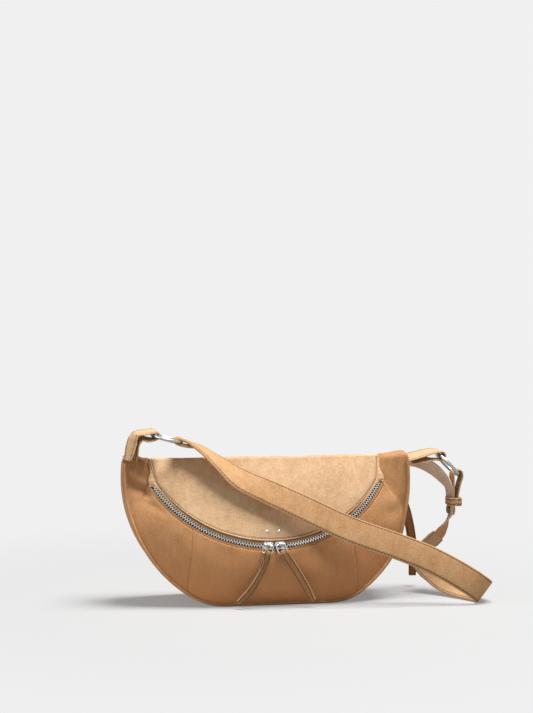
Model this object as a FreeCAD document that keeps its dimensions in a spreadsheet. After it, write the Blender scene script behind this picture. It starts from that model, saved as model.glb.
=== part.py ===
import FreeCAD, Part
import math
import os
from types import SimpleNamespace

import Sketcher

V = FreeCAD.Vector
X_AXIS = V(1, 0, 0)
Y_AXIS = V(0, 1, 0)
Z_AXIS = V(0, 0, 1)
RIGHT_ANGLE = 90

# Driving sizes of the bag in millimetres, angles in degrees, and counts
SIZES = [
    ("bag_width", 300),
    ("base_length", 96.6),
    ("corner_radius", 70),
    ("base_depth", 72),
    ("widest_height", 128),
    ("horn_height", 146),
    ("horn_front", 9.5),
    ("back_lean", 7.5),
    ("wall", 1.8),
    ("lining_wall", 0.8),
    ("layer_gap", 0.2),
    ("seam_gap", 0.8),
    ("front_bulge", 6),
    ("wing_bulge", 2),
    ("flap_tilt", 32),
    ("flap_length", 100),
    ("flap_top_half", 121.5),
    ("flap_gap", 0.3),
    ("wing_gap", 1.6),
    ("fold_rise", 3.6),
    ("zip_radius", 136.5),
    ("fold_drop", 0.2414),
    ("zip_proud", 44),
    ("zip_half_angle", 62.4),
    ("zip_margin", 5),
    ("tape_thickness", 0.8),
    ("tape_reach", 4),
    ("teeth_half_width", 3),
    ("teeth_overlap", 1.2),
    ("teeth_root", 1.5),
    ("teeth_thickness", 2.4),
    ("tooth_width", 1.15),
    ("tooth_pitch", 2.85),
    ("stop_length", 3),
    ("slider_length", 9.6),
    ("slider_width", 8.4),
    ("slider_plate", 1.3),
    ("slider_flange", 0.9),
    ("slider_gap", 0.3),
    ("slider_angle", 2.5),
    ("bail_radius", 2.5),
    ("bail_bore", 1.5),
    ("bail_length", 2.4),
    ("link_wire", 1.4),
    ("link_width", 9.6),
    ("link_length", 9.5),
    ("link_lean", 31),
    ("link_splay", 16),
    ("pull_width", 6.8),
    ("pull_length", 58),
    ("pull_splay", 31),
    ("pull_lean", 4),
    ("pull_leather", 1.1),
    ("pull_slack", 1.5),
    ("back_zip_drop", 18),
    ("back_zip_half", 146),
    ("back_slider_place", 138.5),
    ("back_link_length", 25),
    ("back_link_width", 13.5),
    ("back_link_splay", 26),
    ("back_link_lean", 21),
    ("back_pull_splay", 11),
    ("back_pull_lean", 7),
    ("back_pull_length", 98),
    ("back_pull_width", 10),
    ("pocket_depth", 84),
    ("pocket_width", 200),
    ("pocket_space", 5),
    ("pocket_wall", 0.6),
    ("stud_radius", 1.9),
    ("stud_rise", 1.1),
    ("stud_post", 0.9),
    ("stud_spacing", 12.6),
    ("stud_inset", 8),
    ("board_thickness", 1.6),
    ("board_margin", 8),
    ("piping_radius", 1.5),
    ("piping_stand", 2),
    ("ring_radius", 15.5),
    ("ring_wire", 1.9),
    ("ring_gap", 0.9),
    ("left_ring_reach", 119),
    ("left_ring_rise", 26.5),
    ("left_ring_tilt", 15),
    ("right_ring_gap", 35),
    ("right_ring_rise", 1),
    ("right_ring_tilt", 46),
    ("tab_width", 19),
    ("tab_leather", 1.8),
    ("tab_lap", 9),
    ("tab_bend", 6),
    ("strap_width", 28),
    ("strap_end_width", 20),
    ("strap_face", 1.6),
    ("strap_lining_wall", 1.2),
    ("fold_back", 14),
    ("fold_lead", 9),
    ("fold_slope", 22),
    ("tail_width", 18),
    ("tail_leather", 1.8),
    ("hole_radius", 2),
    ("hole_pitch", 15),
    ("chape_outer", 13),
    ("chape_inner", 42),
    ("strap_gap", 0.5),
    ("keeper_height", 9),
    ("keeper_wall", 1.4),
    ("keeper_drop", 28),
    ("strap_stud_drop", 37),
    ("strap_stud_head", 4),
    ("strap_stud_neck", 1.7),
    ("overrun", 5),
]

# Shares that set how the front panel fans out from the zip to the bottom seam
SEAM_TOP_SHARE = 0.455
FAN_LINEAR_SHARE = 0.764
ARC_TOP_SHARE = 0.8
WING_CLOSE_SHARE = 0.35
TAPER_POWER = 1.5
SECTION_SHARES = [0, 0.16, 0.32, SEAM_TOP_SHARE, 0.57, 0.69, ARC_TOP_SHARE, 0.87, 0.94, 1]
ARC_STATION_SHARES = [0.07, 0.14, 0.22, 0.31, 0.41, 0.52, 0.63, 0.75, 0.87, 1]
PIPING_SIDES = 8
DOME_SHARE = 0.8
PANEL_STEPS = 8
STEPS_PER_STATION = 3

# The strap's way from the left ring to the end of its doubled layers, as shares of
# half the bag's width, half the base's depth, the horns' height and the strap's width,
# with the direction from its lower to its upper edge
STRAP_ROUTE_SHARES = [
    (-0.455, 0.0, 1.085, 0.0, (0.06, 0.95, 0.25)),
    (-0.335, -0.23, 0.99, 0.0, (0.18, 0.85, 0.4)),
    (-0.203, -0.5, 0.88, 0.0, (0.25, 0.65, 0.65)),
    (-0.007, -0.82, 0.785, 0.0, (0.3, 0.5, 0.8)),
    (0.189, -1.083, 0.692, 0.0, (0.32, 0.4, 0.86)),
    (0.515, -1.417, 0.534, 0.0, (0.32, 0.34, 0.88)),
    (0.847, -1.64, 0.413, 0.0, (0.32, 0.3, 0.9)),
    (1.05, -1.75, 0.32, 0.0, (0.32, 0.25, 0.9)),
    (1.185, -1.88, 0.244, 0.0, (0.3, 0.2, 0.92)),
    (1.33, -1.95, 0.0, 0.72, (0.22, 0.1, 0.96)),
    (1.42, -1.8, 0.0, 0.56, (0.1, 0.0, 1.0)),
    (1.45, -1.5, 0.0, 0.53, (0.0, 0.0, 1.0)),
    (1.42, -1.15, 0.0, 0.53, (0.0, 0.0, 1.0)),
    (1.353, -0.72, 0.0, 0.53, (0.05, 0.05, 1.0)),
    (1.267, -0.26, 0.0, 0.51, (0.25, 0.3, 0.9)),
    (1.19, 0.1, 0.0, 0.5, (0.5, 0.6, 0.6)),
    (1.135, 0.33, 0.0, 0.62, (0.62, 0.72, 0.3)),
    (1.125, 0.39, 0.0, 1.0, (0.66, 0.75, 0.0)),
    (1.17, 0.39, 0.272, 0.0, (0.68, 0.68, -0.25)),
    (1.245, 0.35, 0.345, 0.0, (0.66, 0.62, -0.4)),
    (1.285, 0.31, 0.393, 0.0, (0.6, 0.65, -0.4)),
]
# The tail's way on from the keeper: across from its straight run as a share of half the
# bag's width, depth as before, and height in strap widths over the right ring's lower wire
TAIL_BEND_SHARE = 0.4
TAIL_BEND_CROSS_SHARES = (0.35, 0.85, -0.25)
TAIL_HIGH_SHARES = [
    (-0.024, 0.12, -0.28, (0.0, 1.0, 0.0)),
    (-0.06, 0.2, 0.04, (0.1, 0.98, 0.12)),
    (-0.115, 0.37, 0.41, (0.1, 0.9, 0.3)),
    (-0.2, 0.58, 0.58, (0.1, 0.6, 0.7)),
    (-0.25, 0.7, 0.63, (0.1, 0.5, 0.8)),
]

doc = FreeCAD.newDocument("HalfMoonBag")
sheet = doc.addObject("Spreadsheet::Sheet", "Sizes")
for row, (alias, value) in enumerate(SIZES, start=1):
    sheet.set(f"A{row}", alias)
    sheet.set(f"B{row}", str(value))
    sheet.setAlias(f"B{row}", alias)
doc.recompute()
size = SimpleNamespace(**{alias: float(getattr(sheet, alias)) for alias, _ in SIZES})

nodes = []


def sin(angle):
    """Sine of an angle in degrees."""
    return math.sin(math.radians(angle))


def cos(angle):
    """Cosine of an angle in degrees."""
    return math.cos(math.radians(angle))


def tan(angle):
    """Tangent of an angle in degrees."""
    return math.tan(math.radians(angle))


def keep(obj, label):
    """List an object of the document as a sub-part under its label."""
    obj.Label = label
    nodes.append(obj)
    return obj


def shaped(label, shape, place=None):
    """Make a sub-part from a shape built with Part's own functions."""
    obj = doc.addObject("Part::Feature", label)
    obj.Shape = shape
    if place is not None:
        obj.Placement = place.multiply(shape.Placement)
    return keep(obj, label)


def bound(kind, name, place, **expressions):
    """Make a Part primitive whose sizes are bound to the sheet."""
    obj = doc.addObject(kind, name)
    for prop, text in expressions.items():
        obj.setExpression(prop, text)
    obj.Placement = place
    return obj


def at(point, rotation=None):
    """Placement at a point, turned by a rotation if one is given."""
    return FreeCAD.Placement(point, rotation or FreeCAD.Rotation())


# Outline of the body: a flat base, a round corner and one wider arc up each side
half_width = size.bag_width / 2
base_half = size.base_length / 2
half_depth = size.base_depth / 2
corner_rise = size.widest_height - size.corner_radius
corner_reach = half_width - size.corner_radius
side_centre = (corner_reach**2 - corner_rise**2 - base_half**2) / (2 * (corner_reach - base_half))
side_radius = half_width - side_centre
corner_angle = math.atan2(-corner_rise, base_half - side_centre)
end_angle = math.asin((size.horn_height - size.widest_height) / side_radius)
corner_length = size.corner_radius * (corner_angle + math.pi / 2)
side_length = corner_length + side_radius * (end_angle - corner_angle)
seam_half = base_half + side_length


def outline(along):
    """Point of the outline at a length from the middle of the base, and the inward normal."""
    length = abs(along) - base_half
    side = math.copysign(1, along)
    if length <= 0:
        return V(along, 0, 0), V(0, 0, 1)
    if length <= corner_length:
        angle = length / size.corner_radius - math.pi / 2
        centre = V(side * base_half, 0, size.corner_radius)
        radius = size.corner_radius
    else:
        angle = corner_angle + (length - corner_length) / side_radius
        centre = V(side * side_centre, 0, size.widest_height)
        radius = side_radius
    out = V(side * math.cos(angle), 0, math.sin(angle))
    return centre + out * radius, out * -1


def front_depth(along):
    """Place of the front seam across the bag's depth."""
    share = max(0, (abs(along) - base_half) / side_length)
    return -half_depth + (half_depth - size.horn_front) * share**TAPER_POWER


def back_depth(height):
    """Place of the back panel's outer face at a height."""
    return half_depth - height * tan(size.back_lean)


# Frame of the flap and the main zip: its origin is the centre of the zip's arc, X runs
# along the bag, Y up the flap and Z out of it
zip_centre = V(
    0,
    -size.zip_proud + size.zip_radius * sin(size.flap_tilt),
    size.horn_height - size.fold_drop + (size.zip_radius - size.flap_length) * cos(size.flap_tilt),
)
flap_place = at(zip_centre, FreeCAD.Rotation(X_AXIS, RIGHT_ANGLE - size.flap_tilt))
flap_top = size.flap_length - size.zip_radius
panel_edge = size.zip_radius + size.zip_margin
flap_edge = size.zip_radius - size.zip_margin


def on_flap(across, up, rise):
    """Point given in the flap's frame."""
    return flap_place.multVec(V(across, up, rise))


def on_zip(angle, radius, rise):
    """Point at an angle and a radius about the centre of the zip's arc."""
    return on_flap(radius * sin(angle), -radius * cos(angle), rise)


# Frame of the back panel: its origin is the middle of the base's back edge, X runs along
# the bag, Z up the panel and Y out of it
back_place = at(V(0, half_depth, 0), FreeCAD.Rotation(X_AXIS, size.back_lean))


def arc_edge(first, middle, last):
    """Edge of the arc through three points."""
    return Part.Arc(first, middle, last).toShape()


def line_edge(first, last):
    """Straight edge between two points."""
    return Part.LineSegment(first, last).toShape()


def loft(wires):
    """Closed solid ruled through a row of closed wires."""
    return Part.makeLoft(wires, True, True)


# Front panels, gusset and linings


def panel_top(share, rise):
    """Point of the front panel's upper edge, beside the zip and then beside the flap."""
    side = math.copysign(1, share)
    part = abs(share)
    if part <= ARC_TOP_SHARE:
        return on_zip(side * size.zip_half_angle * part / ARC_TOP_SHARE, panel_edge, rise)
    step = (part - ARC_TOP_SHARE) / (1 - ARC_TOP_SHARE)
    turn = size.zip_half_angle
    low_up = -panel_edge * cos(turn)
    up = low_up + (flap_top - low_up) * step
    flap_corner = V(flap_edge * sin(turn), -flap_edge * cos(turn), 0)
    rise_share = (up - flap_corner.y) / (flap_top - flap_corner.y)
    flap_side = flap_corner.x + (size.flap_top_half - flap_corner.x) * rise_share
    low_gap = panel_edge * sin(turn) - flap_corner.x
    gap = max(size.wing_gap, low_gap + (size.wing_gap - low_gap) * step / WING_CLOSE_SHARE)
    return on_flap(side * (flap_side + gap), up, rise)


def seam_along(share):
    """Length along the bottom seam that a share of the front panel's fan reaches."""
    return seam_half * (FAN_LINEAR_SHARE * share + (1 - FAN_LINEAR_SHARE) * share**3)


def curved_section(outer, inner):
    """Closed section between two arcs, each given by three points."""
    near = Part.Arc(*outer).toShape().discretize(PANEL_STEPS)
    far = Part.Arc(*inner).toShape().discretize(PANEL_STEPS)
    if (near[0] - outer[0]).Length > (near[-1] - outer[0]).Length:
        near.reverse()
    if (far[0] - inner[0]).Length > (far[-1] - inner[0]).Length:
        far.reverse()
    return Part.makePolygon(near + far[::-1] + near[:1])


def panel_section(share, near, far, inset):
    """Closed section of the front panel between two depths under its outer face."""
    along = seam_along(share)
    foot, inward = outline(along)
    bulge = V(0, -(size.front_bulge * (1 - share**2) + size.wing_bulge), 0)
    top = panel_top(share, size.wall / 2 - near)
    low = foot + inward * inset + Y_AXIS * (front_depth(along) + near)
    outer = [top, (top + low) * 0.5 + bulge, low]
    normal = (top - low).cross(Y_AXIS).normalize()
    under = flap_place.Rotation.multVec(Z_AXIS * -1)
    under = (under - normal * under.dot(normal)).normalize()
    top = top + under * (far - near)
    low = low + Y_AXIS * (far - near)
    return curved_section(outer, [top, (top + low) * 0.5 + bulge, low])


def shoulder_section(side):
    """Section that carries the side panel over the horn to the back."""
    top = size.horn_height + size.wall + size.layer_gap
    across = size.flap_top_half + size.wing_gap
    back = back_depth(top) - size.wall - size.layer_gap
    foot, inward = outline(side * seam_half)
    outer = [V(side * across, back, top), V(foot.x, back, top)]
    outer.insert(1, (outer[0] + outer[1]) * 0.5 + Z_AXIS * size.layer_gap)
    inner = [point - Z_AXIS * size.wall for point in outer]
    return curved_section(outer, inner)


middle_shares = [share for share in SECTION_SHARES if share <= SEAM_TOP_SHARE]
side_shares = [share for share in SECTION_SHARES if share >= SEAM_TOP_SHARE]
both_ways = [-share for share in reversed(middle_shares) if share] + middle_shares
shaped(
    "front_centre_panel",
    loft([panel_section(share, 0, size.wall, 0) for share in both_ways]),
)
for side, label in ((-1, "front_left_panel"), (1, "front_right_panel")):
    wires = [panel_section(side * share, 0, size.wall, 0) for share in side_shares]
    shaped(label, loft(wires + [shoulder_section(side)]))

lining_near = size.wall + size.seam_gap
lining_far = lining_near + size.lining_wall
gusset_lining_near = size.wall + size.board_thickness + 2 * size.layer_gap
gusset_lining_far = gusset_lining_near + size.lining_wall
lining_shares = [share for share in SECTION_SHARES if share <= ARC_TOP_SHARE]
lining_shares = [-share for share in reversed(lining_shares) if share] + lining_shares
lining_inset = gusset_lining_far + size.layer_gap
shaped(
    "front_lining",
    loft([panel_section(share, lining_near, lining_far, lining_inset) for share in lining_shares]),
)


def gusset_stations():
    """Lengths along the outline at which the gusset has a section."""
    reach = side_length - size.wall - size.seam_gap
    up = [base_half] + [base_half + share * reach for share in ARC_STATION_SHARES]
    return [-along for along in reversed(up)] + up


def gusset_section(along, near, far, front_inset, back_inset):
    """Closed section of the gusset between two depths under its outer face."""
    foot, inward = outline(along)
    front = Y_AXIS * (front_depth(along) + front_inset)
    back = Y_AXIS * (back_depth(foot.z) - back_inset)
    corners = [
        foot + inward * near + front,
        foot + inward * near + back,
        foot + inward * far + back,
        foot + inward * far + front,
    ]
    return Part.makePolygon(corners + corners[:1])


seam_inset = size.wall + size.seam_gap
pocket_inset = size.wall + 2 * size.pocket_wall + size.pocket_space + 3 * size.layer_gap
shaped(
    "gusset",
    loft([
        gusset_section(along, 0, size.wall, seam_inset, seam_inset) for along in gusset_stations()
    ]),
)
lining_front = lining_far + size.seam_gap
lining_back = pocket_inset + size.lining_wall + size.seam_gap
shaped(
    "gusset_lining",
    loft([
        gusset_section(along, gusset_lining_near, gusset_lining_far, lining_front, lining_back)
        for along in gusset_stations()[1:-1]
    ]),
)

board = bound(
    "Part::Box",
    "base_board",
    at(V(
        size.board_margin - base_half,
        size.board_margin - half_depth,
        size.wall + size.layer_gap,
    )),
    Length="<<Sizes>>.base_length - 2 * <<Sizes>>.board_margin",
    Width="<<Sizes>>.base_depth - 2 * <<Sizes>>.board_margin",
    Height="<<Sizes>>.board_thickness",
)
keep(board, "base_board")


def piping(label, depth_at):
    """Round piping along a seam, just inside the outline."""
    wires = []
    turn = 2 * math.pi / PIPING_SIDES
    for along in gusset_stations():
        foot, inward = outline(along)
        middle = foot + inward * size.piping_radius + Y_AXIS * depth_at(along, foot.z)
        ring = [
            middle
            + inward * (size.piping_radius * math.cos(turn * k))
            + Y_AXIS * (size.piping_radius * math.sin(turn * k))
            for k in range(PIPING_SIDES)
        ]
        wires.append(Part.makePolygon(ring + ring[:1]))
    return shaped(label, loft(wires))


piping_reach = size.piping_radius + size.piping_stand
piping("front_piping", lambda along, height: front_depth(along) - piping_reach)
piping(
    "back_piping",
    lambda along, height: back_depth(height) + size.piping_radius + size.layer_gap,
)


# Back panel, cut by the back pocket's zip


def outline_face(inset):
    """Face of the outline in the XZ plane, inset from its edge."""

    def inset_arc(first, last):
        """Arc of the right side between two lengths past the base."""
        points = []
        for length in (first, (first + last) / 2, last):
            point, inward = outline(base_half + length)
            points.append(point + inward * inset)
        return points

    corner = inset_arc(0, corner_length)
    corner[0] = V(base_half, 0, inset)
    side = inset_arc(corner_length, side_length)
    side[0] = corner[2]
    mirrored = [[V(-point.x, 0, point.z) for point in reversed(arc)] for arc in (side, corner)]
    return Part.Face(Part.Wire([
        line_edge(mirrored[1][2], corner[0]),
        arc_edge(*corner),
        arc_edge(*side),
        line_edge(side[2], mirrored[0][0]),
        arc_edge(*mirrored[0]),
        arc_edge(*mirrored[1]),
    ]))


def back_sheet(label, inset, depth, thickness, low, high):
    """Sheet in the back panel's plane, cut to the outline between two heights."""
    prism = outline_face(inset).extrude(Y_AXIS * size.base_depth)
    slab = Part.makeBox(
        size.bag_width, thickness, high - low, V(-half_width, -depth - thickness, low)
    )
    slab.Placement = back_place.multiply(slab.Placement)
    return shaped(label, prism.common(slab))


back_zip_height = size.horn_height - size.back_zip_drop
slot_half = size.zip_margin + size.layer_gap
back_sheet("back_lower_panel", 0, 0, size.wall, -size.overrun, back_zip_height - slot_half)
back_sheet("back_upper_panel", 0, 0, size.wall, back_zip_height + slot_half, size.horn_height)
back_sheet(
    "back_lining", lining_inset, pocket_inset, size.lining_wall, 0, size.horn_height - size.wall
)

pocket_reach = size.pocket_space / 2 + size.pocket_wall


def pocket_pouch():
    """Pouch behind the back zip, folded at its foot, in the back panel's frame."""
    width = size.pocket_width
    top = back_zip_height - slot_half - size.layer_gap
    depth = 2 * pocket_reach
    outer = Part.makeBox(width, depth, size.pocket_depth, V(-width / 2, 0, top - size.pocket_depth))
    inner = Part.makeBox(
        width,
        size.pocket_space,
        size.pocket_depth,
        V(-width / 2, size.pocket_wall, top - size.pocket_depth + size.pocket_wall),
    )
    pouch = outer.cut(inner)
    pouch.translate(Y_AXIS * -(size.wall + size.layer_gap + depth))
    return pouch


shaped("pocket_pouch", pocket_pouch(), back_place)

# The fold along the top, between the flap and the back panel
hinge_point = on_flap(0, flap_top, size.wall)


def top_fold():
    """Strip arched from the flap's upper edge to the back panel's."""
    top = size.horn_height
    front_in = on_flap(0, flap_top, 0)
    back_out = V(0, back_depth(top), top + size.layer_gap)
    back_in = back_out - Y_AXIS * size.wall
    rise = Z_AXIS * size.fold_rise
    crown_out = (hinge_point + back_out) * 0.5 + rise
    crown_in = (front_in + back_in) * 0.5 + rise * 0.5
    face = Part.Face(Part.Wire([
        arc_edge(hinge_point, crown_out, back_out),
        line_edge(back_out, back_in),
        arc_edge(back_in, crown_in, front_in),
        line_edge(front_in, hinge_point),
    ]))
    strip = face.extrude(X_AXIS * (2 * size.flap_top_half))
    strip.translate(X_AXIS * -size.flap_top_half)
    return strip


shaped("top_fold", top_fold())


# Flap and zip tapes, drawn in the flap's frame


def sketch_on(body, name):
    """Sketch on the body's own XY plane."""
    sketch = body.newObject("Sketcher::SketchObject", name)
    plane = [f for f in body.Origin.OriginFeatures if f.Role == "XY_Plane"][0]
    sketch.AttachmentSupport = [(plane, "")]
    sketch.MapMode = "FlatFace"
    return sketch


def constrain(sketch, name, expression, *terms):
    """Add a named dimension and bind it to the sheet."""
    index = sketch.addConstraint(Sketcher.Constraint(*terms))
    sketch.renameConstraint(index, name)
    sketch.setExpression(f"Constraints.{name}", expression)


def padded_body(label, draw, thickness, place):
    """Body with one sketch and one pad."""
    body = doc.addObject("PartDesign::Body", label)
    sketch = sketch_on(body, f"{label}_outline")
    draw(sketch)
    pad = body.newObject("PartDesign::Pad", f"{label}_pad")
    pad.Profile = sketch
    pad.setExpression("Length", f"<<Sizes>>.{thickness}")
    body.Placement = place
    return keep(body, label)


def lower_arc(radius, half_angle):
    """Arc about the origin, symmetric about the downward axis."""
    middle = -math.pi / 2
    spread = math.radians(half_angle)
    return Part.ArcOfCircle(Part.Circle(V(), Z_AXIS, radius), middle - spread, middle + spread)


def draw_flap(sketch):
    """D-shaped outline of the flap with its two rivet holes."""
    angle = size.zip_half_angle
    corner = V(flap_edge * sin(angle), -flap_edge * cos(angle), 0)
    top = V(size.flap_top_half, flap_top - size.flap_gap, 0)
    left_corner, left_top = V(-corner.x, corner.y, 0), V(-top.x, top.y, 0)
    sketch.addGeometry(lower_arc(flap_edge, angle))
    sketch.addGeometry(Part.LineSegment(corner, top))
    sketch.addGeometry(Part.LineSegment(top, left_top))
    sketch.addGeometry(Part.LineSegment(left_top, left_corner))
    for ends in ((0, 2, 1, 1), (1, 2, 2, 1), (2, 2, 3, 1), (3, 2, 0, 1), (0, 3, -1, 1)):
        sketch.addConstraint(Sketcher.Constraint("Coincident", *ends))
    sketch.addConstraint(Sketcher.Constraint("Symmetric", 1, 2, 3, 1, -2))
    sketch.addConstraint(Sketcher.Constraint("Symmetric", 0, 1, 0, 2, -2))
    edge = "(<<Sizes>>.zip_radius - <<Sizes>>.zip_margin)"
    constrain(sketch, "edge_radius", edge, "Radius", 0, flap_edge)
    constrain(
        sketch,
        "edge_chord",
        f"2 * {edge} * sin(<<Sizes>>.zip_half_angle * 1 deg)",
        "DistanceX", 0, 1, 0, 2, 2 * corner.x,
    )
    constrain(
        sketch, "top_length", "2 * <<Sizes>>.flap_top_half", "DistanceX", 3, 1, 1, 2, 2 * top.x
    )
    constrain(
        sketch,
        "top_drop",
        "<<Sizes>>.zip_radius - <<Sizes>>.flap_length + <<Sizes>>.flap_gap",
        "DistanceY", 1, 2, -1, 1, -top.y,
    )
    hole = size.stud_post + size.layer_gap
    for index, side in ((4, -1), (5, 1)):
        centre = V(side * size.stud_spacing / 2, size.stud_inset - flap_edge, 0)
        sketch.addGeometry(Part.Circle(centre, Z_AXIS, hole))
        constrain(
            sketch,
            f"hole_radius_{index}",
            "<<Sizes>>.stud_post + <<Sizes>>.layer_gap",
            "Radius", index, hole,
        )
        across = ("DistanceX", index, 3, -1, 1) if side < 0 else ("DistanceX", -1, 1, index, 3)
        constrain(
            sketch, f"hole_across_{index}", "<<Sizes>>.stud_spacing / 2",
            *across, size.stud_spacing / 2,
        )
        constrain(
            sketch, f"hole_drop_{index}", f"{edge} - <<Sizes>>.stud_inset",
            "DistanceY", index, 3, -1, 1, -centre.y,
        )


def draw_tape(inner, inner_text, outer, outer_text):
    """Return a drawer of one half of the zip's tape, a band about the zip's centre."""

    def draw(sketch):
        angle = size.zip_half_angle
        sketch.addGeometry(lower_arc(outer, angle))
        sketch.addGeometry(lower_arc(inner, angle))
        for side in (-1, 1):
            out = V(side * sin(angle), -cos(angle), 0)
            sketch.addGeometry(Part.LineSegment(out * outer, out * inner))
        for ends in (
            (0, 3, -1, 1), (1, 3, -1, 1), (0, 1, 2, 1), (1, 1, 2, 2), (0, 2, 3, 1), (1, 2, 3, 2),
        ):
            sketch.addConstraint(Sketcher.Constraint("Coincident", *ends))
        chord = "sin(<<Sizes>>.zip_half_angle * 1 deg)"
        for index, radius, text in ((0, outer, outer_text), (1, inner, inner_text)):
            constrain(sketch, f"radius_{index}", text, "Radius", index, radius)
            sketch.addConstraint(Sketcher.Constraint("Symmetric", index, 1, index, 2, -2))
            constrain(
                sketch, f"chord_{index}", f"2 * ({text}) * {chord}",
                "DistanceX", index, 1, index, 2, 2 * radius * sin(angle),
            )

    return draw


def raised(rise):
    """The flap's frame moved out by a rise."""
    return flap_place.multiply(at(V(0, 0, rise)))


padded_body("flap_panel", draw_flap, "wall", raised(0))
padded_body("flap_lining", draw_flap, "lining_wall", raised(-size.lining_wall - size.layer_gap))
half_slit = size.layer_gap * 2
tape_low = raised(-size.tape_thickness / 2)
padded_body(
    "upper_zip_tape",
    draw_tape(
        flap_edge + size.layer_gap,
        "<<Sizes>>.zip_radius - <<Sizes>>.zip_margin + <<Sizes>>.layer_gap",
        size.zip_radius - half_slit,
        "<<Sizes>>.zip_radius - 2 * <<Sizes>>.layer_gap",
    ),
    "tape_thickness",
    tape_low,
)
padded_body(
    "lower_zip_tape",
    draw_tape(
        size.zip_radius + half_slit,
        "<<Sizes>>.zip_radius + 2 * <<Sizes>>.layer_gap",
        size.zip_radius + size.tape_reach,
        "<<Sizes>>.zip_radius + <<Sizes>>.tape_reach",
    ),
    "tape_thickness",
    tape_low,
)


# Zip teeth: a strip along the chain with teeth across its middle line


def comb(place_on, half_length, side, shift, layer):
    """One layer of a row of teeth on one side of the chain's middle line."""
    low, high = layer
    root_out = side * size.teeth_half_width
    root_in = side * (size.teeth_half_width - size.teeth_root)
    tip = -side * size.teeth_overlap
    half_tooth = size.tooth_width / 2
    count = int((2 * half_length - size.tooth_pitch) / size.tooth_pitch)
    first = -count * size.tooth_pitch / 2 + shift
    edge = [(-half_length, root_out), (-half_length, root_in)]
    for k in range(count):
        middle = first + k * size.tooth_pitch
        edge += [(middle - half_tooth, root_in), (middle - half_tooth, tip)]
        edge += [(middle + half_tooth, tip), (middle + half_tooth, root_in)]
    edge += [(half_length, root_in), (half_length, root_out)]
    steps = 2 * count
    edge += [(half_length * (1 - 2 * k / steps), root_out) for k in range(1, steps)]
    points = [place_on(along, across, low) for along, across in edge]
    face = Part.Face(Part.makePolygon(points + points[:1]))
    return face.extrude(place_on(0, 0, high) - place_on(0, 0, low))


def along_arc(along, across, rise):
    """Point of the main chain, on the zip's arc."""
    return on_zip(math.degrees(along / size.zip_radius), size.zip_radius + across, rise)


def along_back(along, across, rise):
    """Point of the back chain, straight along the back panel."""
    return back_place.multVec(V(along, rise - size.wall / 2, back_zip_height - across))


def teeth(place_on, half_length, side, shift):
    """Teeth in front of and behind the tape as two solids."""
    reach = size.teeth_thickness / 2
    tape = size.tape_thickness / 2
    front = comb(place_on, half_length, side, shift, (tape, reach))
    rear = comb(place_on, half_length, side, shift, (-reach, -tape))
    return [front, rear]


chain_half = size.zip_radius * math.radians(size.zip_half_angle) - size.stop_length
quarter_pitch = size.tooth_pitch / 4
shaped("upper_zip_teeth", Part.makeCompound(teeth(along_arc, chain_half, -1, quarter_pitch)))
shaped("lower_zip_teeth", Part.makeCompound(teeth(along_arc, chain_half, 1, -quarter_pitch)))


def end_stop(side):
    """Metal stop at one end of the lower row of teeth."""
    near = chain_half + size.layer_gap
    far = chain_half + size.stop_length - size.layer_gap
    reach = size.teeth_thickness / 2
    tape = size.tape_thickness / 2
    corners = [(near, half_slit), (far, half_slit)]
    corners += [(far, size.teeth_half_width), (near, size.teeth_half_width)]
    points = [along_arc(side * along, across, tape) for along, across in corners]
    face = Part.Face(Part.makePolygon(points + points[:1]))
    return face.extrude(along_arc(0, 0, reach) - along_arc(0, 0, tape))


shaped("zip_end_stops", Part.makeCompound([end_stop(-1), end_stop(1)]))


def back_tape(side):
    """One half of the back zip's tape."""
    inner = back_zip_height + side * half_slit
    outer = back_zip_height + side * size.zip_margin
    low, high = sorted((inner, outer))
    middle = -size.wall / 2 - size.tape_thickness / 2
    length = 2 * size.back_zip_half
    return Part.makeBox(
        length, size.tape_thickness, high - low, V(-size.back_zip_half, middle, low)
    )


shaped("back_zip_tape", Part.makeCompound([back_tape(-1), back_tape(1)]), back_place)
back_chain = size.back_zip_half - size.stop_length
shaped(
    "back_zip_teeth",
    Part.makeCompound(
        teeth(along_back, back_chain, -1, quarter_pitch)
        + teeth(along_back, back_chain, 1, -quarter_pitch)
    ),
)


# Rivets on the flap


def rivet(side):
    """Dome rivet through the flap, in the flap's frame."""
    foot = -size.lining_wall - 2 * size.layer_gap
    top = size.wall + size.layer_gap
    cap = Part.makeCylinder(size.stud_radius, size.stud_rise, V(0, 0, top))
    rim = [edge for edge in cap.Edges if edge.BoundBox.ZMin > top]
    cap = cap.makeFillet(size.stud_rise * DOME_SHARE, rim)
    post = Part.makeCylinder(size.stud_post, top - foot, V(0, 0, foot))
    flange = Part.makeCylinder(size.stud_radius, size.stud_post, V(0, 0, foot - size.stud_post))
    whole = cap.fuse(post).fuse(flange).removeSplitter()
    whole.translate(V(side * size.stud_spacing / 2, size.stud_inset - flap_edge, 0))
    return whole


shaped("flap_rivets", Part.makeCompound([rivet(-1), rivet(1)]), flap_place)


# Folded leather strips: a rounded path in the XZ plane, given a thickness and a width


def shifted_path(points, radii, shift):
    """Path moved to its left by a shift, with the radii that keep it parallel."""
    runs = [(b - a).normalize() for a, b in zip(points, points[1:])]
    sides = [V(-run.z, 0, run.x) for run in runs]
    moved = [points[0] + sides[0] * shift]
    bent = []
    for k in range(1, len(points) - 1):
        first, second = sides[k - 1], sides[k]
        moved.append(points[k] + (first + second) * (shift / (1 + first.dot(second))))
        left = math.copysign(1, runs[k - 1].x * runs[k].z - runs[k - 1].z * runs[k].x)
        bent.append(radii[k - 1] - shift * left)
    moved.append(points[-1] + sides[-1] * shift)
    return moved, bent


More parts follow.
